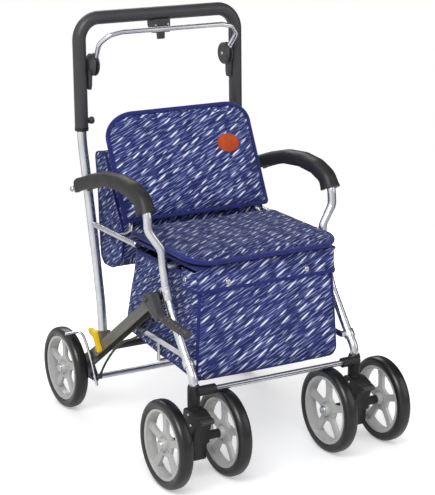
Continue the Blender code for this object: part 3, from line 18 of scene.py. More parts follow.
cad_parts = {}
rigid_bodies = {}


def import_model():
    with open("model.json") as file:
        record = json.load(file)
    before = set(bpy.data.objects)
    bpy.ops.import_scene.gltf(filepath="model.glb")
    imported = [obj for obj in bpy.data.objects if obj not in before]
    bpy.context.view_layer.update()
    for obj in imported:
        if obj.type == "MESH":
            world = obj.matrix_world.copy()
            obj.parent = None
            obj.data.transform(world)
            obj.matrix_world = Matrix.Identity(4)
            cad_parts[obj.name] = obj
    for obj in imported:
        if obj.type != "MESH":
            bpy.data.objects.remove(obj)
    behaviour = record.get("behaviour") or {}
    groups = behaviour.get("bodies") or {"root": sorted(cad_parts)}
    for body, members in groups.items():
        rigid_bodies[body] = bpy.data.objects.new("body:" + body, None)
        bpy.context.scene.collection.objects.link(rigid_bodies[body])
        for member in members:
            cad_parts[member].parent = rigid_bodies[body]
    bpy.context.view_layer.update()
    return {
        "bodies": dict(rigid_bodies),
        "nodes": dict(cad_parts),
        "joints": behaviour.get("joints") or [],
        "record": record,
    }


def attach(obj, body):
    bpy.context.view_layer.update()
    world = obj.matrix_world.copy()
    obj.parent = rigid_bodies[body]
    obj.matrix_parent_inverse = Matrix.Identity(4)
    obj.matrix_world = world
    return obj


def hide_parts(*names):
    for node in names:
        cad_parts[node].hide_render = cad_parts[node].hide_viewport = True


log = logging.getLogger("rollator")
Pair = tuple[float, float]
Colour = tuple[float, float, float]
Path = list[Vector]
Piece = bpy.types.Object
Material = bpy.types.Material
Socket = bpy.types.NodeSocket
X, Y, Z = Vector((1, 0, 0)), Vector((0, 1, 0)), Vector((0, 0, 1))
MIRROR = Matrix.Diagonal((-1, 1, 1))
SHARP = radians(38)  # edges above this angle are drawn sharp


class Slot(Enum):
    """The record's material slots."""

    TUBE = "silver_tube"
    STEEL = "steel"
    PLASTIC = "charcoal_plastic"
    BLACK_METAL = "charcoal_metal"
    BRONZE = "olive_metal"
    CLOTH = "fabric"
    TYRE = "tyre"
    SHEATH = "cable_rubber"
    RIM = "rim"
    YELLOW = "yellow_plastic"


@dataclass(frozen=True)
class Layout:
    """Main planes, pivots and radii, the same as the solids have."""

    wheel_r: float = 0.0875
    tyre_w: float = 0.028
    frame_x: float = 0.1856
    arm_x: float = 0.2124
    rear_wheel_x: float = 0.2232
    twin_offset: float = 0.0642
    swivel_y: float = -0.243
    front_axle_y: float = -0.2505
    rear_axle_y: float = 0.2505
    fold: Pair = (0.202, 0.490)
    leg_pivot: Pair = (-0.112, 0.333)
    leg_end: Pair = (0.2505, 0.080)
    handle_y: float = 0.230
    handle_z: float = 0.8361
    handle_low: float = 0.605
    slope: float = 0.0217
    hub: Pair = (0.2235, 0.741)
    rail_z: float = 0.416
    hinge_y: float = 0.048
    bearer: Pair = (-0.1255, 0.398)
    socket_top: float = 0.192
    crossbar: Pair = (-0.256, 0.183)


L = Layout()
LEG_RUN = Vector((0, L.leg_end[0] - L.leg_pivot[0], L.leg_end[1] - L.leg_pivot[1])).normalized()
LEG_UP = Vector((0, -LEG_RUN.z, LEG_RUN.y))


def side_point(x: float, yz: Sequence[float], shift: Sequence[float] = (0, 0)) -> Vector:
    """The point at distance x from the middle plane with yz plus a shift as its (y, z)."""
    return Vector((x, yz[0] + shift[0], yz[1] + shift[1]))


def leg_point(x: float, along: float, up: float) -> Vector:
    """The point given along the rear leg from its pivot, and above the leg's axis."""
    return side_point(x, L.leg_pivot) + LEG_RUN * along + LEG_UP * up


def handle_axis(x: float, z: float) -> Vector:
    """The point at height z on the sloping line that the handle slides along."""
    return Vector((x, L.handle_y + (z - L.handle_z) * L.slope, z))


def rounded(
    points: Sequence[Sequence[float]], radius: float, step: float = radians(8), closed: bool = False
) -> Path:
    """Turns each corner of a path at a radius.

    Args:
        points: The path's corners.
        radius: Radius of the bends, shortened where a run is too short.
        step: Angle between points in a bend.
        closed: Whether the last point joins the first.

    Returns:
        The path's points with the bends filled in.
    """
    corners = [Vector(p) for p in points]
    count = len(corners)
    path = [] if closed else [corners[0]]
    for i in range(0 if closed else 1, count if closed else count - 1):
        here = corners[i]
        back, ahead = corners[i - 1] - here, corners[(i + 1) % count] - here
        turn = pi - back.angle(ahead)
        if turn < radians(3):
            path.append(here)
            continue
        reach = min(radius * tan(turn / 2), 0.48 * back.length, 0.48 * ahead.length)
        start = here + back.normalized() * reach
        to_centre = (back.normalized() + ahead.normalized()).normalized()
        centre = here + to_centre * (reach / tan(turn / 2) / cos(turn / 2))
        steps = max(1, round(turn / step))
        axis = back.cross(ahead).normalized()
        for k in range(steps + 1):
            path.append(centre + Matrix.Rotation(-turn * k / steps, 3, axis) @ (start - centre))
    return path if closed else path + [corners[-1]]


def curve_at(points: Sequence[Vector], share: float) -> tuple[Vector, Vector]:
    """A point and its direction at a share of a smooth curve through the points."""
    spans = len(points) - 1
    at = min(max(share * spans, 0), spans - 1e-6)
    k = int(at)
    t = at - k
    a, b, c, d = [points[min(max(i, 0), spans)] for i in (k - 1, k, k + 1, k + 2)]
    bend, twist = 2 * a - 5 * b + 4 * c - d, 3 * b - a - 3 * c + d
    here = 0.5 * (2 * b + (c - a) * t + bend * t**2 + twist * t**3)
    return here, (0.5 * ((c - a) + 2 * bend * t + 3 * twist * t**2)).normalized()


def length_of(path: Path) -> float:
    """The length of a path."""
    return sum((b - a).length for a, b in zip(path, path[1:]))


def stretch(path: Path, low: float, high: float, pitch: float) -> Path:
    """The part of a path between two distances along it, with no step longer than the pitch."""
    found, travelled = [], 0.0
    for here, there in zip(path, path[1:]):
        length = (there - here).length
        steps = max(1, ceil(length / pitch))
        for k in range(steps):
            at = travelled + length * k / steps
            if low < at < high:
                found.append((at, here.lerp(there, k / steps)))
        for end in (low, high):
            if travelled <= end <= travelled + length:
                found.append((end, here.lerp(there, (end - travelled) / length)))
        travelled += length
    found.sort(key=lambda pair: pair[0])
    kept = found[:1]
    for pair in found[1:]:
        if pair[0] - kept[-1][0] > 1e-5:
            kept.append(pair)
    return [p for _, p in kept]


def spaced(loop: Path, pitch: float) -> Path:
    """A closed path with no step longer than the pitch, its first point repeated at the end."""
    path = loop + loop[:1]
    return stretch(path, 0, length_of(path), pitch)


def circle(radius: float, sides: int) -> list[Pair]:
    """A circle's corners as (u, v)."""
    return [(radius * cos(2 * pi * k / sides), radius * sin(2 * pi * k / sides)) for k in range(sides)]


def soft_box(half_u: float, half_v: float, radius: float, steps: int = 3) -> list[Pair]:
    """A rectangle's outline with round corners, as (u, v)."""
    outline = []
    for su, sv, start in ((1, 1, 0), (-1, 1, 90), (-1, -1, 180), (1, -1, 270)):
        cu, cv = su * (half_u - radius), sv * (half_v - radius)
        for k in range(steps + 1):
            a = radians(start + 90 * k / steps)
            outline.append((cu + radius * cos(a), cv + radius * sin(a)))
    return outline


def both_ways(rows: list[Pair]) -> list[Pair]:
    """A profile of (radius, height) followed by its mirror image below height 0."""
    return rows + [(r, -h) for r, h in rows[::-1]]


def new_piece(name: str, mesh: bpy.types.Mesh) -> Piece:
    """A new object in the scene with a mesh."""
    obj = bpy.data.objects.new(name, mesh)
    bpy.context.scene.collection.objects.link(obj)
    return obj


class Form:
    """Gathers shells and sheets of points into the mesh of one piece."""

    def __init__(self) -> None:
        self.mesh = bmesh.new()

    def rows(
        self, rings: Sequence[Sequence[Vector]], around: bool = True, loop: bool = False, caps: bool = True
    ) -> None:
        """Adds faces between rows of points.

        Args:
            rings: Rows of equal length.
            around: Whether each row closes on itself.
            loop: Whether the last row joins the first.
            caps: Whether the first and last rows are filled.
        """
        grid = [[self.mesh.verts.new(p) for p in ring] for ring in rings]
        size = len(grid[0])
        for i in range(len(grid) if loop else len(grid) - 1):
            here, there = grid[i], grid[(i + 1) % len(grid)]
            for k in range(size if around else size - 1):
                step = (k + 1) % size
                self.mesh.faces.new((here[k], here[step], there[step], there[k]))
        if caps and around and not loop:
            self.mesh.faces.new(grid[0][::-1])
            self.mesh.faces.new(grid[-1])

    def sweep(
        self, path: Path, profile: Sequence[Pair], across: Vector = X, tip: float = 0.0, loop: bool = False
    ) -> None:
        """Carries a profile along a path.

        Args:
            path: Points of the path.
            profile: Outline as (u, v), u as near to the vector across as it can be.
            across: Direction of u.
            tip: Size of the small chamfer at both ends.
            loop: Whether the path closes on itself.
        """
        stops = [(p, 1.0) for p in path]
        if tip and not loop:
            small = 1 - tip / max(hypot(*p) for p in profile)
            first, last = (path[1] - path[0]).normalized(), (path[-1] - path[-2]).normalized()
            stops[0], stops[-1] = (path[0] + first * tip, 1.0), (path[-1] - last * tip, 1.0)
            stops = [(path[0], small)] + stops + [(path[-1], small)]
        rings = []
        count = len(stops)
        for i, (here, scale) in enumerate(stops):
            before = stops[i - 1][0] if loop or i else here
            after = stops[(i + 1) % count][0] if loop or i < count - 1 else here
            along = (after - before).normalized()
            u = (across - along * across.dot(along)).normalized()
            v = along.cross(u)
            rings.append([here + (u * a + v * b) * scale for a, b in profile])
        self.rows(rings, loop=loop)

    def lathe(
        self, profile: Sequence[Pair], centre: Vector, axis: Vector, sides: int = 32, ring: bool = False
    ) -> None:
        """Turns a profile of (radius, height) about an axis. A ring's profile is a loop clear of the axis."""
        across = Z if abs(axis.z) < 0.9 else X
        u = (across - axis * across.dot(axis)).normalized()
        v = axis.cross(u)
        spokes = [u * a + v * b for a, b in circle(1, sides)]
        self.rows([[centre + spoke * r + axis * h for spoke in spokes] for r, h in profile], loop=ring)

    def slab(self, outline: Sequence[Vector], shift: Vector) -> None:
        """Gives a flat outline thickness along a vector."""
        self.rows([outline, [p + shift for p in outline]])

    def make(self, name: str, sharp: float = SHARP, bevel: float = 0.0) -> Piece:
        """Finishes the mesh as an object.

        Args:
            name: The piece's name.
            sharp: Angle above which an edge is drawn sharp.
            bevel: Width of the small round on the sharp edges.

        Returns:
            The object, with its normals outward.
        """
        bmesh.ops.remove_doubles(self.mesh, verts=self.mesh.verts, dist=1e-6)
        bmesh.ops.recalc_face_normals(self.mesh, faces=self.mesh.faces)
        if bevel:
            round_edges(self.mesh, bevel, sharp)
        mesh = bpy.data.meshes.new(name)
        self.mesh.to_mesh(mesh)
        self.mesh.free()
        mesh.shade_smooth()
        mesh.set_sharp_from_angle(angle=sharp)
        return new_piece(name, mesh)


def round_edges(mesh: bmesh.types.BMesh, width: float, sharp: float) -> None:
    """Rounds the edges of a mesh that are sharper than an angle."""
    edges = [e for e in mesh.edges if e.is_manifold and e.calc_face_angle(0) > sharp]
    size = {"offset": width, "offset_type": "OFFSET", "clamp_overlap": True}
    bmesh.ops.bevel(mesh, geom=edges, segments=2, profile=0.6, affect="EDGES", **size)


def rod(name: str, path: Path, radius: float, sides: int, across: Vector = X, tip: float = 0.0) -> Piece:
    """A round tube or bar along a path."""
    form = Form()
    form.sweep(path, circle(radius, sides), across, tip)
    return form.make(name)


def lathed(
    name: str, profile: Sequence[Pair], sides: int, axis: Vector = X, ring: bool = False, sharp: float = SHARP
) -> Piece:
    """A piece turned about an axis through the origin, from a profile of (radius, height)."""
    form = Form()
    form.lathe(profile, Vector(), axis, sides, ring)
    return form.make(name, sharp)


def settle(obj: Piece) -> Piece:
    """Applies an object's modifiers to its mesh."""
    graph = bpy.context.evaluated_depsgraph_get()
    mesh = bpy.data.meshes.new_from_object(obj.evaluated_get(graph), depsgraph=graph)
    obj.modifiers.clear()
    obj.data = mesh
    return obj


def add_modifier(obj: Piece, kind: str, **settings: object) -> Piece:
    """Adds a modifier with its settings and applies it."""
    modifier = obj.modifiers.new(kind.title(), kind)
    for key, value in settings.items():
        setattr(modifier, key, value)
    return settle(obj)


def cut(obj: Piece, form: Form) -> Piece:
    """Cuts a form out of an object."""
    cutter = form.make("cutter")
    obj = add_modifier(obj, "BOOLEAN", object=cutter, operation="DIFFERENCE", solver="EXACT")
    bpy.data.objects.remove(cutter)
    return obj


def copy_at(pattern: Piece, name: str, centre: Vector, face: int = 1) -> Piece:
    """A copy of a pattern moved to a centre, its mesh in world metres. A face of -1 mirrors it across X."""
    mesh = pattern.data.copy()
    mesh.transform(Matrix.Translation(centre) @ Matrix.Diagonal((face, 1, 1, 1)))
    if face < 0:
        mesh.flip_normals()
    return new_piece(name, mesh)


def merge(parts: Sequence[Piece], name: str) -> Piece:
    """Joins objects at the origin into one."""
    mesh = bmesh.new()
    for part in parts:
        mesh.from_mesh(part.data)
        bpy.data.objects.remove(part)
    joined = bpy.data.meshes.new(name)
    mesh.to_mesh(joined)
    mesh.free()
    return new_piece(name, joined)


def fit(obj: Piece, body: str, slot: Slot, finish: Material, *nodes: str) -> Piece:
    """Gives a piece its finish, hangs it on its body and hides the solids that it stands for."""
    obj.data.materials.clear()
    obj.data.materials.append(finish)
    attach(obj, body)
    if nodes:
        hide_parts(*nodes)
    return obj


def fit_sides(obj: Piece, base: str, body: str, slot: Slot, finish: Material, node: str = "") -> None:
    """Fits a right-hand piece and its mirror image. Body and node are completed with the side."""
    other = copy_at(obj, base + "_left", Vector(), -1)
    obj.name = base + "_right"
    for side, piece in (("right", obj), ("left", other)):
        fit(piece, body.format(side=side), slot, finish, *([f"{node}_{side}"] if node else []))


def linear(red: float, green: float, blue: float) -> tuple[float, float, float, float]:
    """A colour of 0 to 255 in the display's scale as the renderer's own values."""
    shares = [c / 255 for c in (red, green, blue)]
    return (*[s / 12.92 if s <= 0.04045 else ((s + 0.055) / 1.055) ** 2.4 for s in shares], 1.0)


class Wiring:
    """Adds nodes to a tree and joins them."""

    def __init__(self, tree: bpy.types.NodeTree) -> None:
        self.tree = tree

    def add(self, kind: str, inputs: dict | None = None, **settings: object) -> bpy.types.Node:
        """A new node with its settings and inputs, each input a value or a socket."""
        node = self.tree.nodes.new(kind)
        for key, value in settings.items():
            setattr(node, key, value)
        for key, value in (inputs or {}).items():
            self.feed(node.inputs[key], value)
        return node

    def feed(self, socket: Socket, value: object) -> None:
        """Links a socket, or sets its value."""
        if isinstance(value, Socket):
            self.tree.links.new(value, socket)
        else:
            socket.default_value = value

    def sum(self, operation: str, a: object, b: object = 0.0) -> Socket:
        """The result of a math node."""
        return self.add("ShaderNodeMath", {0: a, 1: b}, operation=operation).outputs[0]

    def vector(self, operation: str, a: object, b: object = (0, 0, 0), output: str = "Vector") -> Socket:
        """The result of a vector math node, its vector or its value."""
        return self.add("ShaderNodeVectorMath", {0: a, 1: b}, operation=operation).outputs[output]


class Paint(Wiring):
    """The wiring of a new material."""

    def __init__(self, name: str) -> None:
        self.material = bpy.data.materials.new(name)
        self.material.use_nodes = True
        super().__init__(self.material.node_tree)
        self.shader = self.tree.nodes["Principled BSDF"]
        self.place = self.add("ShaderNodeTexCoord").outputs["Object"]

    def noise(self, size: float, detail: float = 2.0) -> Socket:
        """Noise whose grains are about as large as the size, in metres."""
        inputs = {"Vector": self.place, "Scale": 1 / size, "Detail": detail}
        return self.add("ShaderNodeTexNoise", inputs).outputs[0]

    def ramp(self, share: object, low: float, high: float, start: float = 0.0, end: float = 1.0) -> Socket:
        """A share moved from one range to another with soft ends."""
        inputs = {"Value": share, "From Min": low, "From Max": high, "To Min": start, "To Max": end}
        return self.add("ShaderNodeMapRange", inputs, interpolation_type="SMOOTHSTEP").outputs[0]

    def mix(self, share: object, a: object, b: object) -> Socket:
        """A colour between two colours."""
        return self.add("ShaderNodeMix", {0: share, 6: a, 7: b}, data_type="RGBA").outputs[2]

    def turned(self, place: Socket, angle: float, scale: Sequence[float], **more: object) -> Socket:
        """Coordinates moved, turned by an angle in degrees and divided by a scale."""
        inputs = {"Vector": place, "Rotation": (0, 0, radians(angle)), "Scale": scale, **more}
        return self.add("ShaderNodeMapping", inputs, vector_type="TEXTURE").outputs[0]

    def bump(self, height: object, depth: float, strength: float = 1.0) -> None:
        """Feeds the shader's normal with a relief of the given depth in metres."""
        inputs = {"Height": height, "Distance": depth, "Strength": strength}
        self.set(Normal=self.add("ShaderNodeBump", inputs).outputs[0])

    def set(self, **values: object) -> None:
        """Sets the shader's own inputs by name, with _ for a space."""
        for key, value in values.items():
            self.feed(self.shader.inputs[key.replace("_", " ")], value)


@dataclass(frozen=True)
class Metal:
    """Bare or plated metal with fine brushing and faint smudges."""

    name: str
    colour: Colour
    rough: float
    brushing: float = 0.00002

    def build(self) -> Material:
        """The finish as a material."""
        w = Paint(self.name)
        smudge = w.noise(0.035, 4)
        fine = w.noise(0.0006)
        r, g, b = self.colour
        shade = w.mix(w.ramp(smudge, 0.35, 0.7), linear(r, g, b), linear(r * 0.93, g * 0.935, b * 0.95))
        rough = w.ramp(smudge, 0.3, 0.75, self.rough, self.rough + 0.06)
        w.set(Base_Color=shade, Metallic=1.0, Roughness=rough)
        w.bump(fine, self.brushing, 0.4)
        return w.material


@dataclass(frozen=True)
class Moulded:
    """Moulded plastic, paint or rubber with a grain, faint mottling and paler patches of dust at random."""

    name: str
    colour: Colour
    rough: float
    grain: float = 0.0007
    depth: float = 0.00004
    dust: float = 0.12
    coat: float = 0.0
    tint: Colour = (1.12, 1.1, 1.02)

    def build(self) -> Material:
        """The finish as a material."""
        w = Paint(self.name)
        wide = w.noise(0.03, 4)
        fine = w.noise(self.grain)
        pale = linear(*[min(255, c * t + 6) for c, t in zip(self.colour, self.tint)])
        shade = w.mix(w.ramp(wide, 0.35, 0.75, 0, self.dust * 4), linear(*self.colour), pale)
        shade = w.mix(w.ramp(fine, 0.45, 0.7, 0, 0.3), shade, linear(*[c * 0.85 for c in self.colour]))
        w.set(Base_Color=shade, Roughness=w.ramp(wide, 0.3, 0.8, self.rough, self.rough + 0.12))
        w.set(Coat_Weight=self.coat, Coat_Roughness=0.15, Specular_IOR_Level=0.45)
        w.bump(fine, self.depth)
        return w.material


CLOTH_MAP = "cloth"
CLOTH_SHEEN = (0.75, 0.78, 1.0, 1.0)


@dataclass(frozen=True)
class Dashes:
    """One layer of a cloth's woven dashes, in metres and degrees."""

    pitch: Pair
    half: Pair
    turn: float
    share: float
    strength: float
    colour: Colour
    scatter: float = 0.75


@dataclass(frozen=True)
class DashedCloth:
    """Indigo cloth with a woven pattern of slanted dashes, laid out in the piece's own map in metres."""

    name: str
    slant: float = 21.0
    scale: float = 1.0
    # shade darkens every colour of the cloth; below 1 it paints shade into a darker copy of the cloth
    shade: float = 1.0
    ground: tuple[Colour, Colour] = ((37, 44, 100), (46, 54, 114))
    layers: tuple[Dashes, ...] = (
        Dashes((0.034, 0.0062), (0.018, 0.0017), -2, 0.95, 0.8, (21, 27, 68)),
        Dashes((0.028, 0.0046), (0.016, 0.0012), 1, 0.95, 0.75, (100, 112, 172)),
        Dashes((0.030, 0.0072), (0.017, 0.0011), 3, 0.9, 0.9, (166, 177, 220)),
        Dashes((0.036, 0.0170), (0.0145, 0.0028), 11, 0.95, 0.8, (150, 160, 214), 0.5),
        Dashes((0.036, 0.0170), (0.0130, 0.0018), 13, 0.95, 1.0, (238, 242, 252), 0.5),
    )

    def tone(self, colour: Colour) -> tuple[float, float, float, float]:
        """A colour of the cloth darkened by its shade factor, which paints shade into the colour when below
        1.
        """
        return linear(*[c * self.shade for c in colour])

    def dashes(self, w: Paint, place: Socket, layer: Dashes) -> Socket:
        """The mask of one layer of dashes.

        Args:
            w: The material's wiring.
            place: Socket with the cloth's coordinates.
            layer: The layer.

        Returns:
            A socket that is 1 on a dash and 0 beside it.
        """
        pitch = (layer.pitch[0] * self.scale, layer.pitch[1] * self.scale, 1)
        half = (layer.half[0] * self.scale, layer.half[1] * self.scale, 1)
        spot = w.turned(place, self.slant, pitch, Location=(pitch[0] * 7.3, pitch[1] * 4.1, 0))
        cell = {"Vector": spot, "Scale": 1.0, "Randomness": layer.scatter}
        cells = w.add("ShaderNodeTexVoronoi", cell, voronoi_dimensions="2D").outputs
        chance = w.add("ShaderNodeSeparateColor", {0: cells["Color"]}).outputs
        off = w.vector("SUBTRACT", spot, cells["Position"])
        own = w.turned(w.vector("MULTIPLY", off, pitch), layer.turn, half)
        size = w.ramp(chance[1], 0.0, 1.0, 0.7, 1.15)
        shown = w.ramp(chance[0], 0.9 - layer.share, 1.1 - layer.share)
        inside = w.sum("SUBTRACT", size, w.vector("LENGTH", own, output="Value"))
        return w.sum("MULTIPLY", w.ramp(inside, 0.0, 0.6), shown)

    def build(self) -> Material:
        """The finish as a material."""
        w = Paint(self.name)
        flat = w.add("ShaderNodeUVMap", uv_map=CLOTH_MAP).outputs[0]
        grains = [{"Vector": flat, "Scale": s, "Detail": d} for s, d in ((110.0, 2.0), (26.0, 3.0))]
        wobble, wide = [w.add("ShaderNodeTexNoise", g, noise_dimensions="2D").outputs for g in grains]
        shift = w.vector("SUBTRACT", wobble["Color"], (0.5, 0.5, 0.5))
        place = w.vector("ADD", flat, w.vector("MULTIPLY", shift, (0.0012, 0.0012, 0.0012)))
        shade = w.mix(w.ramp(wide[0], 0.3, 0.7), *[self.tone(colour) for colour in self.ground])
        for layer in self.layers:
            mask = w.sum("MULTIPLY", self.dashes(w, place, layer), layer.strength)
            shade = w.mix(mask, shade, self.tone(layer.colour))
        weave = [
            w.add("ShaderNodeTexWave", {"Vector": flat, "Scale": 330.0}, bands_direction=way).outputs[1]
            for way in ("X", "Y")
        ]
        w.set(Base_Color=shade, Roughness=0.82, Specular_IOR_Level=0.2)
        w.set(Sheen_Weight=0.08, Sheen_Roughness=0.45, Sheen_Tint=CLOTH_SHEEN)
        w.bump(w.sum("ADD", w.sum("MULTIPLY", *weave), w.sum("MULTIPLY", wide[0], 0.8)), 0.00025, 0.7)
        return w.material


@dataclass(frozen=True)
class Tape:
    """Ribbed binding tape."""

    name: str
    colour: Colour

    def build(self) -> Material:
        """The finish as a material."""
        w = Paint(self.name)
        wide = w.noise(0.02, 3)
        shade = w.mix(w.ramp(wide, 0.3, 0.7), linear(*self.colour), linear(*[c * 1.22 for c in self.colour]))
        ribs = w.add("ShaderNodeTexWave", {"Vector": w.place, "Scale": 260.0}, bands_direction="DIAGONAL")
        w.set(Base_Color=shade, Roughness=0.78, Specular_IOR_Level=0.25)
        w.set(Sheen_Weight=0.3, Sheen_Roughness=0.4, Sheen_Tint=CLOTH_SHEEN)
        w.bump(w.sum("ADD", ribs.outputs[1], wide), 0.0002, 0.6)
        return w.material


class Finishes:
    """Every finish, built once."""

    def __init__(self) -> None:
        fine = {"depth": 0.00002}
        self.tube = Metal("bright anodised tube", (222, 223, 227), 0.22, 0.000001).build()
        self.steel = Metal("plated steel", (205, 205, 208), 0.24).build()
        self.plastic = Moulded("charcoal plastic", (60, 60, 63), 0.34, dust=0.07).build()
        self.grip = Moulded("soft armrest rubber", (38, 37, 37), 0.42, 0.0009, 0.00006, 0.07).build()
        self.black = Moulded("black plastic", (31, 31, 32), 0.38, dust=0.07).build()
        self.black_metal = Moulded("black paint", (38, 38, 38), 0.34, coat=0.2, **fine).build()
        self.bronze = Moulded("dark bronze paint", (86, 86, 80), 0.3, coat=0.3, **fine).build()
        self.tyre = Moulded("smooth black tyre", (21, 21, 23), 0.28, 0.0012, dust=0.05, coat=0.25).build()
        self.sheath = Moulded("cable sheath", (32, 32, 33), 0.45).build()
        self.rim = Moulded("light grey rim", (186, 187, 186), 0.25, dust=0.05, coat=0.3, **fine).build()
        yellow = Moulded("yellow plastic", (245, 204, 22), 0.34, dust=0.03, tint=(1, 0.98, 0.8), **fine)
        self.yellow = yellow.build()
        self.cloth = DashedCloth("dashed cloth of the pads").build()
        # The seat's cloth is the pads' cloth at 0.86 of its brightness: painted shade, as the seat faces up
        # to the key lamp.
        self.seat_cloth_in_painted_shade = DashedCloth("dashed cloth of the seat, darkened as painted shade", 19.0, 0.95, 0.86).build()
        self.front_cloth = DashedCloth("dashed cloth of the bag's front", 22.0, 1.1).build()
        self.side_cloth = DashedCloth("dashed cloth of the sides", 27.0, 0.85).build()
        self.tape = Tape("navy binding tape", (32, 38, 98)).build()
        self.patch = Tape("orange patch", (166, 68, 30)).build()
        self.thread = Moulded("navy thread", (62, 66, 140), 0.6).build()

    def of(self, slot: Slot, node: str) -> Material:
        """The finish of a solid that is shown as it is."""
        table = {
            Slot.TUBE: self.bronze if node.startswith("upright_") else self.tube,
            Slot.STEEL: self.steel,
            Slot.PLASTIC: self.black if "yoke" in node or "socket" in node else self.plastic,
            Slot.BLACK_METAL: self.black_metal,
            Slot.BRONZE: self.bronze,
            Slot.CLOTH: self.cloth,
            Slot.TYRE: self.tyre,
            Slot.SHEATH: self.sheath,
            Slot.RIM: self.rim,
            Slot.YELLOW: self.yellow,
        }
        return self.tape if node == "seat_board" else table[slot]


def lay_cloth(obj: Piece) -> None:
    """Gives a cloth piece its map in metres, seen square on from the front, the side or above."""
    mesh = obj.data
    layer = mesh.uv_layers.get(CLOTH_MAP) or mesh.uv_layers.new(name=CLOTH_MAP)
    for polygon in mesh.polygons:
        n = polygon.normal
        for loop in polygon.loop_indices:
            p = mesh.vertices[mesh.loops[loop].vertex_index].co
            if abs(n.x) > 0.75:
                spot = (-p.y + 0.37, p.z)
            elif abs(n.z) > 0.8 and p.z > 0.3:
                spot = (p.x, p.y + p.z)
            else:
                spot = (p.x, p.z + 0.35 * p.y)
            layer.data[loop].uv = spot


class Repeat:
    """Geometry Nodes set-up for what repeats: a small shape set on many points."""

    def __init__(self, shape: Piece, finish: Material) -> None:
        bpy.context.scene.collection.objects.unlink(shape)
        self.tree = bpy.data.node_groups.new("Set on points", "GeometryNodeTree")
        for name, way, kind in (
            ("Geometry", "INPUT", "Geometry"),
            ("Size", "INPUT", "Float"),
            ("Turn", "INPUT", "Float"),
            ("Geometry", "OUTPUT", "Geometry"),
        ):
            self.tree.interface.new_socket(name, in_out=way, socket_type="NodeSocket" + kind)
        w = Wiring(self.tree)
        given = w.add("NodeGroupInput").outputs
        vectors = {"data_type": "FLOAT_VECTOR"}
        facing, heading = [
            w.add("GeometryNodeInputNamedAttribute", {"Name": name}, **vectors).outputs["Attribute"]
            for name in ("facing", "heading")
        ]
        align = "FunctionNodeAlignRotationToVector"
        up = w.add(align, {"Vector": facing}, axis="Z").outputs[0]
        along = w.add(align, {"Rotation": up, "Vector": heading}, axis="X", pivot_axis="Z").outputs[0]
        spin = w.add("FunctionNodeRandomValue", {3: given["Turn"], "Seed": 7}, data_type="FLOAT").outputs[1]
        angles = w.add("ShaderNodeCombineXYZ", {"Z": spin}).outputs[0]
        inputs = {"Rotation": along, "Rotate By": angles}
        turned = w.add("FunctionNodeRotateRotation", inputs, rotation_space="LOCAL").outputs[0]
        points = w.add("GeometryNodeMeshToPoints", {0: given["Geometry"]}).outputs[0]
        info = w.add("GeometryNodeObjectInfo", {"Object": shape}).outputs["Geometry"]
        inputs = {"Points": points, "Instance": info, "Rotation": turned, "Scale": given["Size"]}
        setter = w.add("GeometryNodeInstanceOnPoints", inputs).outputs[0]
        real = w.add("GeometryNodeRealizeInstances", {0: setter}).outputs[0]
        painted = w.add("GeometryNodeSetMaterial", {0: real, "Material": finish}).outputs[0]
        w.add("NodeGroupOutput", {0: painted})

    def place(
        self, name: str, spots: Sequence[tuple[Vector, Vector, Vector]], size: float = 1.0, turn: float = 0.0
    ) -> Piece:
        """Sets the shape on points.

        Args:
            name: The piece's name.
            spots: For each copy its place, the way its top faces and the way its length runs.
            size: Scale of the shape.
            turn: Greatest random turn of a copy, in radians.

        Returns:
            One object with all the copies.
        """
        mesh = bpy.data.meshes.new(name)
        mesh.from_pydata([spot[0] for spot in spots], [], [])
        for key, column in (("facing", 1), ("heading", 2)):
            layer = mesh.attributes.new(key, "FLOAT_VECTOR", "POINT")
            for item, spot in zip(layer.data, spots):
                item.vector = spot[column].normalized()
        obj = new_piece(name, mesh)
        modifier = obj.modifiers.new("Set on points", "NODES")
        modifier.node_group = self.tree
        values = {"Size": size, "Turn": turn}
        for socket in self.tree.interface.items_tree:
            if socket.in_out == "INPUT" and socket.name in values:
                modifier[socket.identifier] = values[socket.name]
        return settle(obj)


@dataclass(frozen=True)
class Fittings:
    """The screws, snaps and stitches, each drawn once and set out by Geometry Nodes."""

    screw_r: float = 0.0030
    snap_r: float = 0.0058
    stitch: float = 0.0032

    def screw(self, finish: Material) -> Repeat:
        """A round-headed screw with a cross-shaped drive."""
        r = self.screw_r
        rows = [(0.0001, 0.0012), (0.55 * r, 0.0012), (0.85 * r, 0.0009), (r, 0.0002), (r, -0.0006)]
        head = lathed("screw_pattern", rows, 16, Z)
        arm, half = 0.55 * r, 0.16 * r
        corner = [(arm, half), (half, half), (half, arm), (-half, arm), (-half, half), (-arm, half)]
        star = corner + [(-a, -b) for a, b in corner]
        drive = Form()
        drive.slab([Vector((a, b, 0.0005)) for a, b in star], Z * 0.002)
        return Repeat(cut(head, drive), finish)

    def snap(self, finish: Material) -> Repeat:
        """A press stud's dished cap."""
        shares = ((0.45, 0.0011), (0.62, 0.0017), (0.86, 0.0016), (1, 0.0006), (1, -0.0006))
        rows = [(0.0001, 0.0010)] + [(a * self.snap_r, h) for a, h in shares]
        return Repeat(lathed("snap_pattern", rows, 20, Z, sharp=radians(60)), finish)

    def stitches(self, finish: Material) -> Repeat:
        """One stitch, a short plump thread."""
        half = self.stitch / 2
        rows = [(0.00008, -half), (0.00032, -0.7 * half), (0.0004, 0), (0.00032, 0.7 * half), (0.00008, half)]
        return Repeat(lathed("stitch_pattern", rows, 6, sharp=radians(80)), finish)


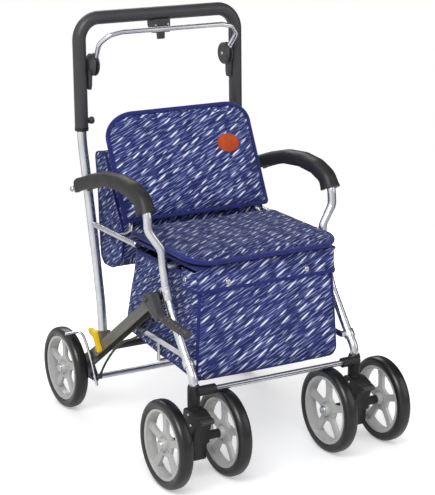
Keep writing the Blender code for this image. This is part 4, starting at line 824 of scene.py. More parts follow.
@dataclass
class Tubes:
    """The bent metal tubes."""

    finishes: Finishes
    frame_r: float = 0.0088
    upright_r: float = 0.0097
    rail_r: float = 0.006
    cross_r: float = 0.008
    crossbar_r: float = 0.0055
    leg_bends: tuple[Pair, ...] = ((0.030, 0.048), (0.083, 0.116), (0.106, 0.162))
    s_bend: tuple[Pair, ...] = ((-0.322, -0.060), (-0.317, -0.020))
    arch: tuple[Pair, ...] = (
        (-0.314, 0.010),
        (-0.299, 0.036),
        (-0.262, 0.050),
        (-0.212, 0.055),
        (-0.152, 0.050),
        (-0.089, 0.034),
        (-0.042, 0.018),
    )

    def front_route(self) -> Path:
        """Axis of the right front tube: leg, S-bend and armrest arch."""
        x, arm = L.frame_x, L.arm_x
        points = [Vector((x, L.swivel_y, z)) for z in (0.174, 0.205)]
        points += [side_point(x, (L.swivel_y, L.socket_top), bend) for bend in self.leg_bends]
        points.append(side_point(x, L.bearer))
        points += [side_point(at, L.fold, bend) for at, bend in zip((x, arm), self.s_bend)]
        points += [side_point(arm, L.fold, bend) for bend in self.arch + ((0, 0),)]
        return rounded(points, 0.030, radians(6))

    def upright_route(self) -> Path:
        """Axis of the right upright."""
        x = L.frame_x
        points = [leg_point(x, 0.297, 0.0168)]
        points += [side_point(x, L.fold, bend) for bend in ((-0.051, -0.232), (-0.025, -0.108), (0, 0))]
        points += [handle_axis(x, z) for z in (0.585, 0.750)]
        return rounded(points, 0.15, radians(4))

    def build(self) -> None:
        """Builds the front tubes, uprights, seat rails and cross tubes."""
        log.info("frame tubes")
        f = self.finishes
        rail = [Vector((L.frame_x, y, L.rail_z)) for y in (-0.015, 0.177)]
        for base, path, size, sides, tip, body, node in (
            ("frame_tube", self.front_route(), self.frame_r, 28, 0.0008, "frame", "front_frame"),
            ("upright_tube", self.upright_route(), self.upright_r, 28, 0.0008, "upright", ""),
            ("rail", rail, self.rail_r, 20, 0.0012, "upright", "seat_rail"),
        ):
            fit_sides(rod(base, path, size, sides, tip=tip), base, body, Slot.TUBE, f.tube, node)
        rear = leg_point(0, 0.302, -0.002)
        bar = side_point(0, L.crossbar)
        cross = rod("rear_tube", [rear - X * 0.1733, rear + X * 0.1733], self.cross_r, 24, Z)
        fit(cross, "rear_legs", Slot.BLACK_METAL, f.black_metal, "rear_cross_tube")
        lower = rod("lower_bar", [bar - X * 0.1696, bar + X * 0.1696], self.crossbar_r, 24, Z)
        fit(lower, "frame", Slot.TUBE, f.steel, "front_crossbar")
        # A thin black strip along the front of the lower bar: a painted dark reflection line on the bright
        # bar.
        line = Form()
        ends = [bar + Vector((s * 0.1455, -0.0053, 0.0014)) for s in (-1, 1)]
        line.sweep(ends, soft_box(0.0008, 0.0009, 0.0004, 2), Z)
        fit(line.make("lower_bar_line"), "frame", Slot.BLACK_METAL, f.black_metal)


@dataclass
class Armrests:
    """Soft grips over the armrest tubes, square cut and flared at both ends."""

    finishes: Finishes
    route: Path
    half: float = 0.017
    top: float = 0.0165
    skirt: float = 0.0135
    flare: float = 0.0022
    length: float = 0.305
    back: float = 0.030
    screw: Pair = (-0.085, 0.515)

    def section(self, swell: float) -> list[Pair]:
        """The grip's outline round the tube, larger by the swell."""
        half, top = self.half + swell - 0.0006, self.top + swell - 0.0006
        rows = [(-half + 0.0012, self.skirt), (-half, self.skirt - 0.0015), (-half, -0.25 * top)]
        turns = [radians(a) for a in (18, 36, 54, 70)]
        rows += [(-half * cos(a) ** 0.8, -top * (0.25 + 0.75 * sin(a))) for a in turns]
        rows.append((0.0, -top))
        outer = rows + [(-a, b) for a, b in rows[-2::-1]]
        bore = [(0.0089 * cos(radians(a)), -0.0089 * sin(radians(a))) for a in range(0, 181, 30)]
        return outer + [(0.0094, self.skirt)] + bore + [(-0.0094, self.skirt)]

    def build(self, screws: Repeat) -> None:
        """Builds both grips with their side screws."""
        log.info("armrests")
        end = length_of(self.route) - self.back
        path = stretch(self.route, end - self.length, end, 0.009)
        rings = []
        run, gone = length_of(path), 0.0
        for i, here in enumerate(path):
            gone += (here - path[i - 1]).length if i else 0
            along = (path[min(i + 1, len(path) - 1)] - path[max(i - 1, 0)]).normalized()
            u = (X - along * along.x).normalized()
            v = along.cross(u)
            swell = self.flare * max(0.0, 1 - min(gone, run - gone) / 0.020) ** 2 - 0.0004
            rings.append([here + u * a + v * b for a, b in self.section(swell)])
        form = Form()
        form.rows(rings)
        grip = form.make("armrest_grip", radians(50), 0.0007)
        fit_sides(grip, "armrest_grip", "frame", Slot.PLASTIC, self.finishes.grip, "armrest_pad")
        out = L.arm_x + self.half - 0.0004
        spots = [(side_point(side * out, self.screw), X * side, Y) for side in (-1, 1)]
        fit(screws.place("armrest_screws", spots, 1.15, 1.0), "frame", Slot.STEEL, self.finishes.steel)


@dataclass
class Handle:
    """The push handle, its brake hubs and the bar under it."""

    finishes: Finishes
    radius: float = 0.014
    corner: float = 0.045
    disc_r: float = 0.0235
    inner: float = 0.1557
    outer: float = 0.1617
    bar_r: float = 0.005
    eye_r: float = 0.0085
    knob_z: float = 0.625
    knob_sides: int = 48

    @property
    def seat(self) -> float:
        """The x of the arms' inner side, where hubs and knobs sit."""
        return L.frame_x - self.radius - 0.0003

    def grip(self) -> None:
        """The bent tube with its soft sleeve and two end ferrules."""
        low, high = handle_axis(L.frame_x, L.handle_low), handle_axis(L.frame_x, L.handle_z)
        path = rounded([low, high, MIRROR @ high, MIRROR @ low], self.corner, radians(5))
        sleeve = rod("push_handle", path, self.radius, 36, Vector((0, 1, -0.02)), 0.0016)
        fit(sleeve, "handle", Slot.PLASTIC, self.finishes.plastic, "handle")
        rings = Form()
        slide = (handle_axis(0, 1) - handle_axis(0, 0)).normalized()
        profile = [(0.0132, -0.0042), (0.01445, -0.0036), (0.01445, 0.0036), (0.0132, 0.0042)]
        for side in (-1, 1):
            rings.lathe(profile, handle_axis(side * L.frame_x, L.handle_low + 0.004), slide, 36, ring=True)
        fit(rings.make("handle_collars"), "handle", Slot.PLASTIC, self.finishes.black)

    def hubs(self, screws: Repeat) -> None:
        """Two spools beside the arms, with a cap screw and a housing below each."""
        r, inner, outer = self.disc_r, self.inner, self.outer
        hub = side_point(0, L.hub)
        form = Form()
        cap = [(0.0001, inner - 0.0052), (0.5 * r, inner - 0.0052), (0.84 * r, inner - 0.0046)]
        cap += [(0.96 * r, inner - 0.0030), (r, inner - 0.0016), (r, inner), (0.0046, inner)]
        cap += [(0.0046, outer), (r, outer), (r, outer + 0.002), (0.93 * r, outer + 0.0035)]
        cap += [(0.62 * r, self.seat - 0.002), (0.5 * r, self.seat)]
        form.lathe(cap, hub, X, 48)
        ring = ((0.70, 0.0050), (0.75, 0.0055), (0.80, 0.0048), (0.75, 0.0040))
        form.lathe([(a * r, inner - b) for a, b in ring], hub, X, 48, ring=True)
        near = outer + 0.001
        rows = []
        for height, grow in ((0.013, 0.0), (0.004, 0.0), (-0.018, -0.0006), (-0.0275, -0.0022)):
            box = soft_box((self.seat - near) / 2 + grow * 0.5, 0.0085 + grow, 0.002)
            centre = Vector(((self.seat + near) / 2, hub.y + 0.0005, hub.z - r + height))
            rows.append([centre + X * a + Y * b for a, b in box])
        form.rows(rows)
        spool = form.make("brake_spool", radians(35), 0.0004)
        fit_sides(spool, "brake_spool", "handle", Slot.PLASTIC, self.finishes.plastic, "brake_hub")
        spots = [(side_point(s * (inner - 0.0052), L.hub), X * -s, Y) for s in (-1, 1)]
        fit(screws.place("hub_screws", spots, 1.3, 1.2), "handle", Slot.STEEL, self.finishes.steel)

    def knobs(self) -> None:
        """The sprung height knobs, fluted round their rims."""
        centre = handle_axis(self.seat, self.knob_z)
        profile = (  # radius, distance from the seat, depth of the flutes
            (0.0002, -0.0135, 0.0),
            (0.0054, -0.0135, 0.0),
            (0.0072, -0.0122, 0.3),
            (0.0077, -0.0110, 1.0),
            (0.0077, -0.0060, 1.0),
            (0.0068, -0.0050, 0.2),
            (0.0060, -0.0045, 0.0),
            (0.0060, 0.0, 0.0),
            (0.0025, 0.0, 0.0),
            (0.0025, 0.008, 0.0),
        )
        rings = []
        for r, out, flute in profile:
            ring = []
            for k, (a, b) in enumerate(circle(1, self.knob_sides)):
                ring.append(centre + X * out + (Y * a + Z * b) * (r - 0.0004 * flute * (k % 4 < 2)))
            rings.append(ring)
        form = Form()
        form.rows(rings)
        knob = form.make("knob")
        fit_sides(knob, "knob", "height_knob_{side}", Slot.PLASTIC, self.finishes.plastic, "height_knob")

    def bar(self) -> None:
        """The bright bar that both hands squeeze, with an eye in each hub."""
        hub = side_point(0, L.hub)
        reach = Vector((0, -0.70, 0.714)).normalized()
        side_way = reach.cross(X)
        right = [hub + reach * 0.027 + X * (self.inner + self.outer) / 2]
        bends = ((0.1627, 0.183, 0.789), (0.1452, 0.172, 0.806), (0.1182, 0.170, 0.8115))
        right += [Vector(bend) for bend in bends]
        path = rounded(right + [MIRROR @ p for p in right[::-1]], 0.02, radians(6))
        form = Form()
        form.sweep(path, circle(self.bar_r, 20), Vector((0.1, 0.75, 0.65)))
        arc = []
        for k in range(19):
            a = radians(-90 + 180 * k / 18)
            arc.append(hub - reach * (self.eye_r * cos(a)) + side_way * (self.eye_r * sin(a)))
        outline = arc + [hub + reach * 0.030 + side_way * (s * 0.0048) for s in (1, -1)]
        for side in (-1, 1):
            near, far = side * (self.inner + 0.0004), side * (self.outer - 0.0004)
            form.slab([p + X * near for p in outline], X * (far - near))
        fit(form.make("squeeze_bar"), "brake_bar", Slot.TUBE, self.finishes.tube, "brake_bar")

    def build(self, screws: Repeat) -> None:
        """Builds the handle with all that sits on it."""
        log.info("handle")
        self.grip()
        self.hubs(screws)
        self.knobs()
        self.bar()
        spots = [(Vector((x, 0.2155, 0.8135)), -Y, X) for x in (-0.0145, 0.0145)]
        fit(screws.place("catch_screws", spots, 0.85, 1.0), "handle", Slot.STEEL, self.finishes.steel)


@dataclass
class Wheels:
    """Five-spoke wheels with smooth tyres."""

    finishes: Finishes
    spokes: int = 5
    rim_r: float = 0.0697
    band: float = 0.0062
    half: float = 0.0115
    hub_r: float = 0.0135
    sides: int = 72

    def tyre(self) -> Piece:
        """A tyre about X, at the origin."""
        half, outer, inner = L.tyre_w / 2, L.wheel_r, L.wheel_r - 0.0175
        walls = ((0, 0.80), (0.0015, 0.90), (0.0055, 0.985), (0.0085, 1), (0.0115, 0.975))
        tread = ((0.0032, 0.84), (0.0012, 0.64), (0.0002, 0.40), (0, 0.15))
        rows = [(inner + r, h * half) for r, h in walls] + [(outer - r, h * half) for r, h in tread]
        return lathed("tyre_pattern", both_ways(rows), self.sides, ring=True, sharp=radians(60))

    def petals(self, reach: float) -> Form:
        """The openings between the spokes, as a cutter that goes out to a radius."""
        form = Form()
        for k in range(self.spokes):
            middle = 2 * pi * (k + 0.5) / self.spokes + pi / 2
            outline = []
            for j in range(28):
                t = -1 + 2 * j / 27
                angle = middle + radians(29) * abs(t) ** 0.45 * (1 if t > 0 else -1)
                r = reach + 0.0006 - (reach - 0.0239) * (1 - abs(t) ** 3.0) ** 0.8
                outline.append(Vector((-0.02, r * cos(angle), r * sin(angle))))
            for degrees in (18, 0, -18):
                angle = middle + radians(degrees)
                outline.append(Vector((-0.02, reach * 1.004 * cos(angle), reach * 1.004 * sin(angle))))
            form.slab(outline, X * 0.04)
        return form

    def rim(self) -> Piece:
        """A rim about X: a flanged band, a cupped web with petal openings and a hub."""
        half, outer, inner = self.half, self.rim_r, self.rim_r - self.band
        side = [(outer, half), (outer - 0.0012, half + 0.0005), (inner + 0.0016, half + 0.0005)]
        side.append((inner, half - 0.0008))
        band = lathed("rim_band", both_ways(side[::-1])[::-1], self.sides, ring=True)
        cup = [(0.0135, 0.0042), (0.021, 0.0036), (0.034, 0.0032), (0.050, 0.0036), (inner + 0.002, 0.0050)]
        star = cut(lathed("rim_web", both_ways(cup), self.sides, ring=True), self.petals(inner))
        mesh = bmesh.new()
        mesh.from_mesh(star.data)
        bmesh.ops.remove_doubles(mesh, verts=mesh.verts, dist=0.00005)
        round_edges(mesh, 0.0009, radians(50))
        mesh.to_mesh(star.data)
        mesh.free()
        hub = Form()
        face = L.tyre_w / 2
        cap = [(0.0041, face - 0.0006), (0.0072, face - 0.0006), (0.0078, face), (0.0104, face)]
        cap += [(0.0116, face - 0.0012), (0.0128, face - 0.006), (self.hub_r, face - 0.008)]
        hub.lathe(both_ways(cap), Vector(), X, 40, ring=True)
        ridge = [(0.0165, 0.0035), (0.0165, 0.0052), (0.0185, 0.0052), (0.0185, 0.0035)]
        for sign in (-1, 1):
            hub.lathe([(r, sign * h) for r, h in ridge], Vector(), X, 40, ring=True)
        rim = merge([band, star, hub.make("rim_hub")], "rim_pattern")
        rim.data.shade_smooth()
        rim.data.set_sharp_from_angle(angle=SHARP)
        return rim

    def hub_cap(self) -> Piece:
        """The bright domed cap over the axle's head, facing +X."""
        start = L.tyre_w / 2 - 0.0004
        rows = ((0.0092, -0.001), (0.0098, 0.0006), (0.0094, 0.0022), (0.0078, 0.0036), (0.0040, 0.0043))
        profile = [(r, start + h) for r, h in rows + ((0.0001, 0.0045),)]
        return lathed("cap_pattern", profile, 32, sharp=radians(50))

    def build(self) -> None:
        """Places a tyre, a rim and a cap on every wheel body."""
        log.info("wheels")
        f = self.finishes
        rim, tyre, cap = self.rim(), self.tyre(), self.hub_cap()
        for side, sign in (("right", 1), ("left", -1)):
            spots = [(f"rear_wheel_{side}", sign * L.rear_wheel_x, L.rear_axle_y, sign)]
            for where, way in (("inner", -1), ("outer", 1)):
                x = sign * (L.frame_x + way * L.twin_offset)
                spots.append((f"front_wheel_{side}_{where}", x, L.front_axle_y, sign * way))
            for name, x, y, face in spots:
                centre = Vector((x, y, L.wheel_r))
                fit(copy_at(rim, name + "_spokes", centre), name, Slot.RIM, f.rim, name + "_rim")
                fit(copy_at(tyre, name + "_rubber", centre), name, Slot.TYRE, f.tyre, name + "_tyre")
                fit(copy_at(cap, name + "_cap", centre, face), name, Slot.STEEL, f.steel)
        for pattern in (rim, tyre, cap):
            bpy.data.objects.remove(pattern)


BACK_LINE = [
    Vector((0, 0.064, 0.441)),
    Vector((0, 0.092, 0.490)),
    Vector((0, 0.118, 0.540)),
    Vector((0, 0.137, 0.588)),
    Vector((0, 0.146, 0.628)),
    Vector((0, 0.149, 0.660)),
]


def behind_line(share: float, distance: float) -> Vector:
    """A point at a share of the backrest's middle line and a distance behind it."""
    here, along = curve_at(BACK_LINE, share)
    return here + Vector((0, along.z, -along.y)) * distance


@dataclass
class Cushion:
    """A padded piece: a crowned closed form, puffed up by a short cloth simulation."""

    name: str
    half: float
    rise: float
    corner: float
    low_corner: float
    edge: float
    front: float
    rear: float
    place: Callable[[float, float, float], Vector]
    movement: float = 0.005
    grain: float = 0.005
    pressure: float = 4
    frames: int = 20

    def outline(self, shrink: float, steps: int = 10) -> list[Pair]:
        """The pad's outline as (u, v), v from 0 to the rise, drawn in by the shrink."""
        w, top = self.half - shrink, self.rise - shrink
        loop = []
        for u, v, r, start in (
            (w, top, self.corner, 0),
            (-w, top, self.corner, 90),
            (-w, shrink, self.low_corner, 180),
            (w, shrink, self.low_corner, 270),
        ):
            cu, cv = u - r * (1 if u > 0 else -1), v - r * (1 if v > self.rise / 2 else -1)
            for k in range(steps + 1):
                a = radians(start + 90 * k / steps)
                loop.append((cu + r * cos(a), cv + r * sin(a)))
        return loop

    def form(self) -> Piece:
        """The crowned form before it is puffed up."""
        middle = self.rise / 2
        rim = self.outline(0.0012)
        sheets = []
        for thick, sign in ((self.front, -1), (self.rear, 1)):
            rings = []
            for share in (0.04, 0.2, 0.4, 0.58, 0.72, 0.83, 0.91, 0.965, 1.0):
                crown = (1 - share**4) ** 0.62
                h = sign * (self.edge + (thick - self.edge) * crown)
                rings.append([self.place(u * share, middle + (v - middle) * share, h) for u, v in rim])
            sheets.append(rings)
        form = Form()
        form.rows(sheets[0] + sheets[1][::-1])
        return form.make(self.name, radians(80))

    def puff(self, obj: Piece) -> Piece:
        """Blows the form up as cloth and holds every point near where it was."""
        obj = add_modifier(obj, "REMESH", mode="VOXEL", voxel_size=self.grain, use_smooth_shade=True)
        rest = [v.co.copy() for v in obj.data.vertices]
        cloth = obj.modifiers.new("Cloth", "CLOTH")
        settings = cloth.settings
        settings.quality = 5
        settings.mass = 0.25
        settings.tension_stiffness = settings.compression_stiffness = 12
        settings.bending_stiffness = 0.6
        settings.use_pressure = True
        settings.uniform_pressure_force = self.pressure
        settings.effector_weights.gravity = 0
        cloth.collision_settings.use_collision = False
        for step in range(1, self.frames + 1):
            bpy.context.scene.frame_set(step)
        settle(obj)
        bpy.context.scene.frame_set(1)
        for vertex, start in zip(obj.data.vertices, rest):
            move = vertex.co - start
            if move.length > self.movement:
                vertex.co = start + move * (self.movement / move.length)
        return obj

    def wrinkle(self, obj: Piece, depth: float) -> None:
        """Adds the faint pulls and dents of filled cloth."""
        normals = [v.normal.copy() for v in obj.data.vertices]
        for vertex, normal in zip(obj.data.vertices, normals):
            fine = noise.noise(vertex.co * 60 + Vector((3, 1, 2)))
            vertex.co += normal * depth * (noise.noise(vertex.co * 22) + 0.4 * fine)

    def build(self) -> Piece:
        """Builds the pad as one mesh."""
        obj = self.form()
        obj = self.puff(obj)
        self.wrinkle(obj, 0.0009)
        obj = add_modifier(obj, "SUBSURF", levels=1, render_levels=1)
        obj.data.shade_smooth()
        lay_cloth(obj)
        return obj

    def binding(self, name: str) -> Piece:
        """The tape sewn round the pad's edge."""
        loop = self.outline(0.0022, 12)
        path = [self.place(u, v, 0.0) for u, v in loop]
        middle = self.place(0, self.rise / 2, 0.0)
        half = self.edge + 0.0011
        profile = [(0.0022, 0.45), (0.0026, 0.0), (0.0022, -0.45), (0.0010, -0.9), (-0.0030, -1.15)]
        profile += [(-0.0052, -1.2), (-0.0052, 1.2), (-0.0030, 1.15), (0.0010, 0.9)]
        rings = []
        for i, here in enumerate(path):
            u, v = loop[i]
            along = (path[(i + 1) % len(path)] - path[i - 1]).normalized()
            normal = (self.place(u, v, 0.01) - self.place(u, v, -0.01)).normalized()
            out = along.cross(normal).normalized()
            if out.dot(here - middle) < 0:
                out = -out
            rings.append([here + out * a + normal * (b * half) for a, b in profile])
        form = Form()
        form.rows(rings, loop=True)
        return form.make(name, radians(60))


@dataclass
class SeatAndBack:
    """The seat pad and the backrest, with their bound edges and the bare patch."""

    finishes: Finishes
    stitches: Repeat
    seat_half: float = 0.1735
    seat_front: float = -0.219
    seat_rear: float = 0.040
    seat_z: float = 0.427
    seat_low: float = 0.4126
    back_half: float = 0.172
    back_drop: float = 0.020  # the dressed backrest is this much shorter than its line
    patch_half: Pair = (0.0255, 0.0180)

    def seat_place(self, u: float, v: float, h: float) -> Vector:
        """A point of the seat pad: v runs forward from the rear edge, h downward."""
        y = self.seat_rear - v
        share = max(0.0, 1 - (y - self.seat_front) / (0.3 * (self.seat_rear - self.seat_front)))
        bulge = 0.006 * share * max(0.0, 1 - (u / self.seat_half) ** 2)
        return Vector((u, y - bulge, self.seat_z - h - 0.0085 * share**1.6))

    def back_place(self, u: float, v: float, h: float) -> Vector:
        """A point of the backrest: v runs up from the lower edge, h to the rear."""
        run = length_of(BACK_LINE)
        arch = 0.0035 * (v / run) ** 4 * (1 - (u / self.back_half) ** 2)
        return behind_line((v + arch) / run, h) + X * u

    def build(self) -> None:
        """Builds both pads."""
        log.info("seat pad")
        f = self.finishes
        depth = self.seat_rear - self.seat_front
        size = (self.seat_half, depth, 0.050, 0.012, 0.0028, 0.0145, 0.0142)
        seat = Cushion("seat_cushion", *size, self.seat_place)
        pad = seat.build()
        for vertex in pad.data.vertices:
            vertex.co.z = max(vertex.co.z, self.seat_low)  # flat where it rests on its board
        fit(pad, "seat", Slot.CLOTH, f.seat_cloth_in_painted_shade, "seat_pad")
        fit(seat.binding("seat_binding"), "seat", Slot.CLOTH, f.tape)
        log.info("backrest")
        size = (self.back_half, length_of(BACK_LINE) - self.back_drop, 0.060, 0.008, 0.0024, 0.0098, 0.0098)
        back = Cushion("back_cushion", *size, self.back_place)
        rest = back.build()
        fit(rest, "upright", Slot.CLOTH, f.cloth, "backrest_pad")
        fit(back.binding("back_binding"), "upright", Slot.CLOTH, f.tape)
        self.sew(seat, pad, "seat", "seat_stitches")
        self.sew(back, rest, "upright", "back_stitches")
        self.patch(rest)

    def sew(self, pad: Cushion, obj: Piece, body: str, name: str) -> None:
        """Sets a row of stitches beside the bound edge, on the pad's showing side."""
        tree = BVHTree.FromObject(obj, bpy.context.evaluated_depsgraph_get())
        rim = pad.outline(0.0092, 12)
        loop = spaced([pad.place(u, v, -0.03) for u, v in rim], 0.0052)
        way = (pad.place(*rim[0], 0.0) - loop[0]).normalized()
        spots = []
        for here, there in zip(loop, loop[1:]):
            found, normal, _, _ = tree.ray_cast(here, way, 0.08)
            if found is not None and (there - here).length > 0.002:
                spots.append((found + normal * 0.0001, normal, there - here))
        fit(self.stitches.place(name, spots), body, Slot.CLOTH, self.finishes.thread)

    def patch(self, rest: Piece) -> None:
        """The bare oval patch, lying on the backrest's front, with a sewn rim."""
        tree = BVHTree.FromObject(rest, bpy.context.evaluated_depsgraph_get())
        wide, high = self.patch_half

        def on_pad(a: float, u: float, v: float, lift: float) -> tuple[Vector, Vector]:
            """A point above the pad at an angle of an oval, and the way the pad faces there."""
            start = Vector((0.101 + wide * u * cos(a), 0.05, 0.570 + high * v * sin(a)))
            found, normal, _, _ = tree.ray_cast(start, Y, 0.2)
            return found + normal * lift, normal

        turns = [2 * pi * k / 48 for k in range(48)]
        rings = [[on_pad(a, s, s, 0.0013)[0] for a in turns] for s in (0.02, 0.3, 0.6, 0.85, 1.0)]
        rings += [[p + Y * 0.0026 for p in ring] for ring in (rings[-1], rings[0])]
        form = Form()
        form.rows(rings)
        fit(form.make("bare_patch", radians(50)), "upright", Slot.CLOTH, self.finishes.patch)
        spots = []
        for k in range(64):
            a = 2 * pi * k / 64
            spots.append((*on_pad(a, 0.93, 0.91, 0.0015), Vector((-wide * sin(a), 0, high * cos(a)))))
        sewn = self.stitches.place("patch_stitches", spots, 0.75)
        fit(sewn, "upright", Slot.CLOTH, self.finishes.patch)


def rim_point(u: float, width: float, depth: float, corner: float) -> Pair:
    """A point on a rounded rectangle, at a share of the way round from the middle of the front."""
    corner = min(corner, 0.9 * width, 0.9 * depth)
    a, b = width - corner, depth - corner
    arc = corner * pi / 2
    run = u * (4 * a + 4 * b + 4 * arc)
    if run < a:
        return run, -depth
    run -= a
    for k, (side, cx, cy) in enumerate(((2 * b, a, -b), (2 * a, a, b), (2 * b, -a, b), (a, -a, -b))):
        turn = (k - 1) * pi / 2 + min(run, arc) / corner
        x, y = cx + corner * cos(turn), cy + corner * sin(turn)
        if run < arc:
            return x, y
        run -= arc
        if run <= side:
            return x - sin(turn) * run, y + cos(turn) * run
        run -= side
    return 0.0, -depth


@dataclass
class Bag:
    """The shopping bag: a sagging cloth shell with bound edges and a flap over its mouth."""

    finishes: Finishes
    snaps: Repeat
    half: float = 0.158
    top: float = 0.388
    bottom: float = 0.190
    front_top: float = -0.2065
    front_low: float = -0.219
    rear_top: float = 0.050
    rear_low: float = 0.088
    belly: float = 0.005
    hem: float = 0.360
    flap_top: float = 0.400
    wing: float = 0.055
    low_edge: float = -0.62  # height share of the tape along the bottom

    def floor(self, y: float) -> float:
        """Height of the bag's bottom, which rises to the rear and sags in front of its strap."""
        share = min(max((y + 0.062) / 0.15, 0), 1.1)
        sag = min(max((-0.085 - y) / 0.09, 0), 1)
        return self.bottom + 0.018 * share - 0.0075 * sag * sag * (3 - 2 * sag)

    def front(self, z: float) -> float:
        """The front panel's y at a height."""
        return self.front_top + (self.top - z) * (self.front_low - self.front_top) / (self.top - self.bottom)

    def skin(self, u: float, t: float) -> Vector:
        """A point of the bag's outside.

        Args:
            u: Share of the way round, from the middle of the front over the right side.
            t: Share of the height, below 0 on the bottom.

        Returns:
            The point.
        """
        rise, low = max(t, 0.0), max(-t, 0.0)
        front = self.front_low + (self.front_top - self.front_low) * rise + 0.0008
        rear = self.rear_low + (self.rear_top - self.rear_low) * rise
        half = self.half - 0.0008 + 0.0045 * (1 - rise) ** 1.5
        turn = min(low, 1) * pi / 2
        inset = 1 - cos(turn)
        left = 1 - max(low - 1, 0)
        width = (half - 0.011 * inset) * left
        depth = ((rear - front) / 2 - 0.011 * inset) * left
        x, y = rim_point(u, width, depth, 0.011 + 0.004 * inset)
        y += (front + rear) / 2
        floor = self.floor(y)
        lip = 0.0006 + 0.021 * (1 - sin(turn))
        return Vector((x, y, floor + lip + (self.top - floor - 0.0216) * rise))

    def sag(self, p: Vector, normal: Vector) -> Vector:
        """How far cloth at a point leans out of its flat panel."""
        share = min(max((p.z - self.bottom) / (self.top - self.bottom), 0), 1)
        if abs(normal.x) > 0.7:
            across = min(max((p.y - self.front_low) / (self.rear_low - self.front_low), 0), 1)
            reach = 0.75
        elif abs(normal.y) > 0.7:
            across = (p.x + self.half) / (2 * self.half)
            reach = 0.9
        else:
            return Vector()
        wave = sin(pi * share) ** 0.8 * sin(pi * across) ** 0.6
        folds = noise.noise(Vector((p.x * 9, p.y * 9, p.z * 5))) * 0.0032 + noise.noise(p * 34) * 0.0011
        drop = self.belly * reach * wave * (1.25 - share)
        return normal * (drop + folds * (0.35 + 0.65 * wave))

    def build(self) -> None:
        """Builds the bag, its flap, its bindings and its snaps."""
        log.info("shopping bag")
        around = 120
        levels = [-1.75, -1.45, -1.2, -1.0, -0.8, -0.6, -0.4, -0.2, 0.0] + [t / 22 for t in range(1, 23)]
        form = Form()
        form.rows([[self.skin(k / around, t) for k in range(around)] for t in levels], caps=False)
        form.mesh.faces.new(form.mesh.verts[:around][::-1])
        shell = form.make("bag_cloth", radians(70))
        normals = [v.normal.copy() for v in shell.data.vertices]
        for vertex, normal in zip(shell.data.vertices, normals):
            if normal.length and vertex.co.z > self.bottom + 0.006:
                vertex.co += self.sag(vertex.co, normal)
        shell = add_modifier(shell, "SOLIDIFY", thickness=0.0022, offset=-1.0)
        lay_cloth(shell)
        fit(shell, "frame", Slot.CLOTH, self.finishes.side_cloth, "shopping_bag")
        shell.data.materials.append(self.finishes.front_cloth)
        for polygon in shell.data.polygons:
            polygon.material_index = int(abs(polygon.normal.y) > 0.7)
        self.bindings()
        self.flap()

    def bindings(self) -> None:
        """Tape down both front corners, along the bottom edges and round the mouth."""
        form = Form()
        corner = self.edge_share()
        tape = soft_box(0.0030, 0.0013, 0.0012, 2)
        for side in (1, -1):
            flip = Matrix.Diagonal((side, 1, 1))
            path = []
            for k in range(-12, 13):
                out = Vector((0.7, -0.7, 0)) if k > -6 else Vector((0.5, -0.5, -0.6))
                path.append(flip @ (self.skin(corner, k / 12) + out * 0.0006))
            form.sweep(path, soft_box(0.0034, 0.0013, 0.0012, 2), Vector((side, 1, 0)).normalized())
            low = [flip @ self.skin(corner + (0.5 - 2 * corner) * k / 19, self.low_edge) for k in range(20)]
            form.sweep(low, tape, Vector((side, 0, 1)).normalized())
        right = [self.skin(share * corner, self.low_edge) for share in (0, 0.5, 1)]
        form.sweep([MIRROR @ p for p in right[:0:-1]] + right, tape, Vector((0, -1, 1)).normalized())
        mouth = [self.skin(k / 96, 0.99) for k in range(96)]
        form.sweep(mouth, soft_box(0.0016, 0.0050, 0.0014, 2), -X, loop=True)
        fit(form.make("bag_binding", radians(60)), "frame", Slot.CLOTH, self.finishes.tape)

    def edge_share(self) -> float:
        """The share of the way round at which the front's right corner is."""
        edge = Vector((self.half, self.front(0.29), self.skin(0, 0.5).z))
        shares = [0.5 * k / 400 for k in range(400)]
        return min(shares, key=lambda u: ((self.skin(u, 0.5) - edge) * Vector((1, 1, 0))).length)

    def flap(self) -> None:
        """The flap over the front of the mouth, with wings round the sides."""
        side = self.half + 0.0012
        rings = []
        rows = 14
        for j in range(rows + 1):
            share = j / rows
            z = self.flap_top - (self.flap_top - self.hem) * share
            front = self.front(min(z, self.top)) - 0.0014
            back = front + self.wing
            plan = [(side, back, 0), (side, front, 0), (-side, front, 0), (-side, back, 0)]
            plan = rounded(plan, 0.010, radians(15))
            ring = []
            for p in stretch(plan, 0, length_of(plan), 0.006):
                ripple = 0.0011 * share * sin(p.x * 62 + p.y * 40)
                ripple += 0.0006 * noise.noise(Vector((p.x, p.y, z)) * 40)
                out = -Y if abs(p.x) < self.half - 0.004 else X * (1 if p.x > 0 else -1)
                lift = 0.0105 * (1 - share) * min(1, max(0, (front + 0.004 - p.y) / 0.004))
                ring.append(Vector((p.x, p.y, z + lift)) + out * (0.0008 + ripple))
            rings.append(ring)
        size = min(len(ring) for ring in rings)
        form = Form()
        form.rows([ring[:size] for ring in rings], around=False)
        cloth = form.make("bag_flap_cloth", radians(60))
        cloth = add_modifier(cloth, "SOLIDIFY", thickness=0.0016, offset=0.0)
        lay_cloth(cloth)
        fit(cloth, "frame", Slot.CLOTH, self.finishes.front_cloth, "bag_flap")
        hem = Form()
        hem.sweep([p + Z * 0.0022 for p in rings[-1]], soft_box(0.0034, 0.0016, 0.0012, 2), Z)
        band = hem.make("flap_hem", radians(60))
        fit(band, "frame", Slot.CLOTH, self.finishes.tape)
        y = self.front(0.375) - 0.0030
        studs = [(Vector((x, y, 0.375)), Vector((0, -1, 0.06)), X) for x in (-0.09, 0.09)]
        studs += [(Vector((s * (side + 0.0018), -0.166, 0.379)), X * s, Y) for s in (-1, 1)]
        fit(self.snaps.place("flap_snaps", studs), "frame", Slot.STEEL, self.finishes.steel)


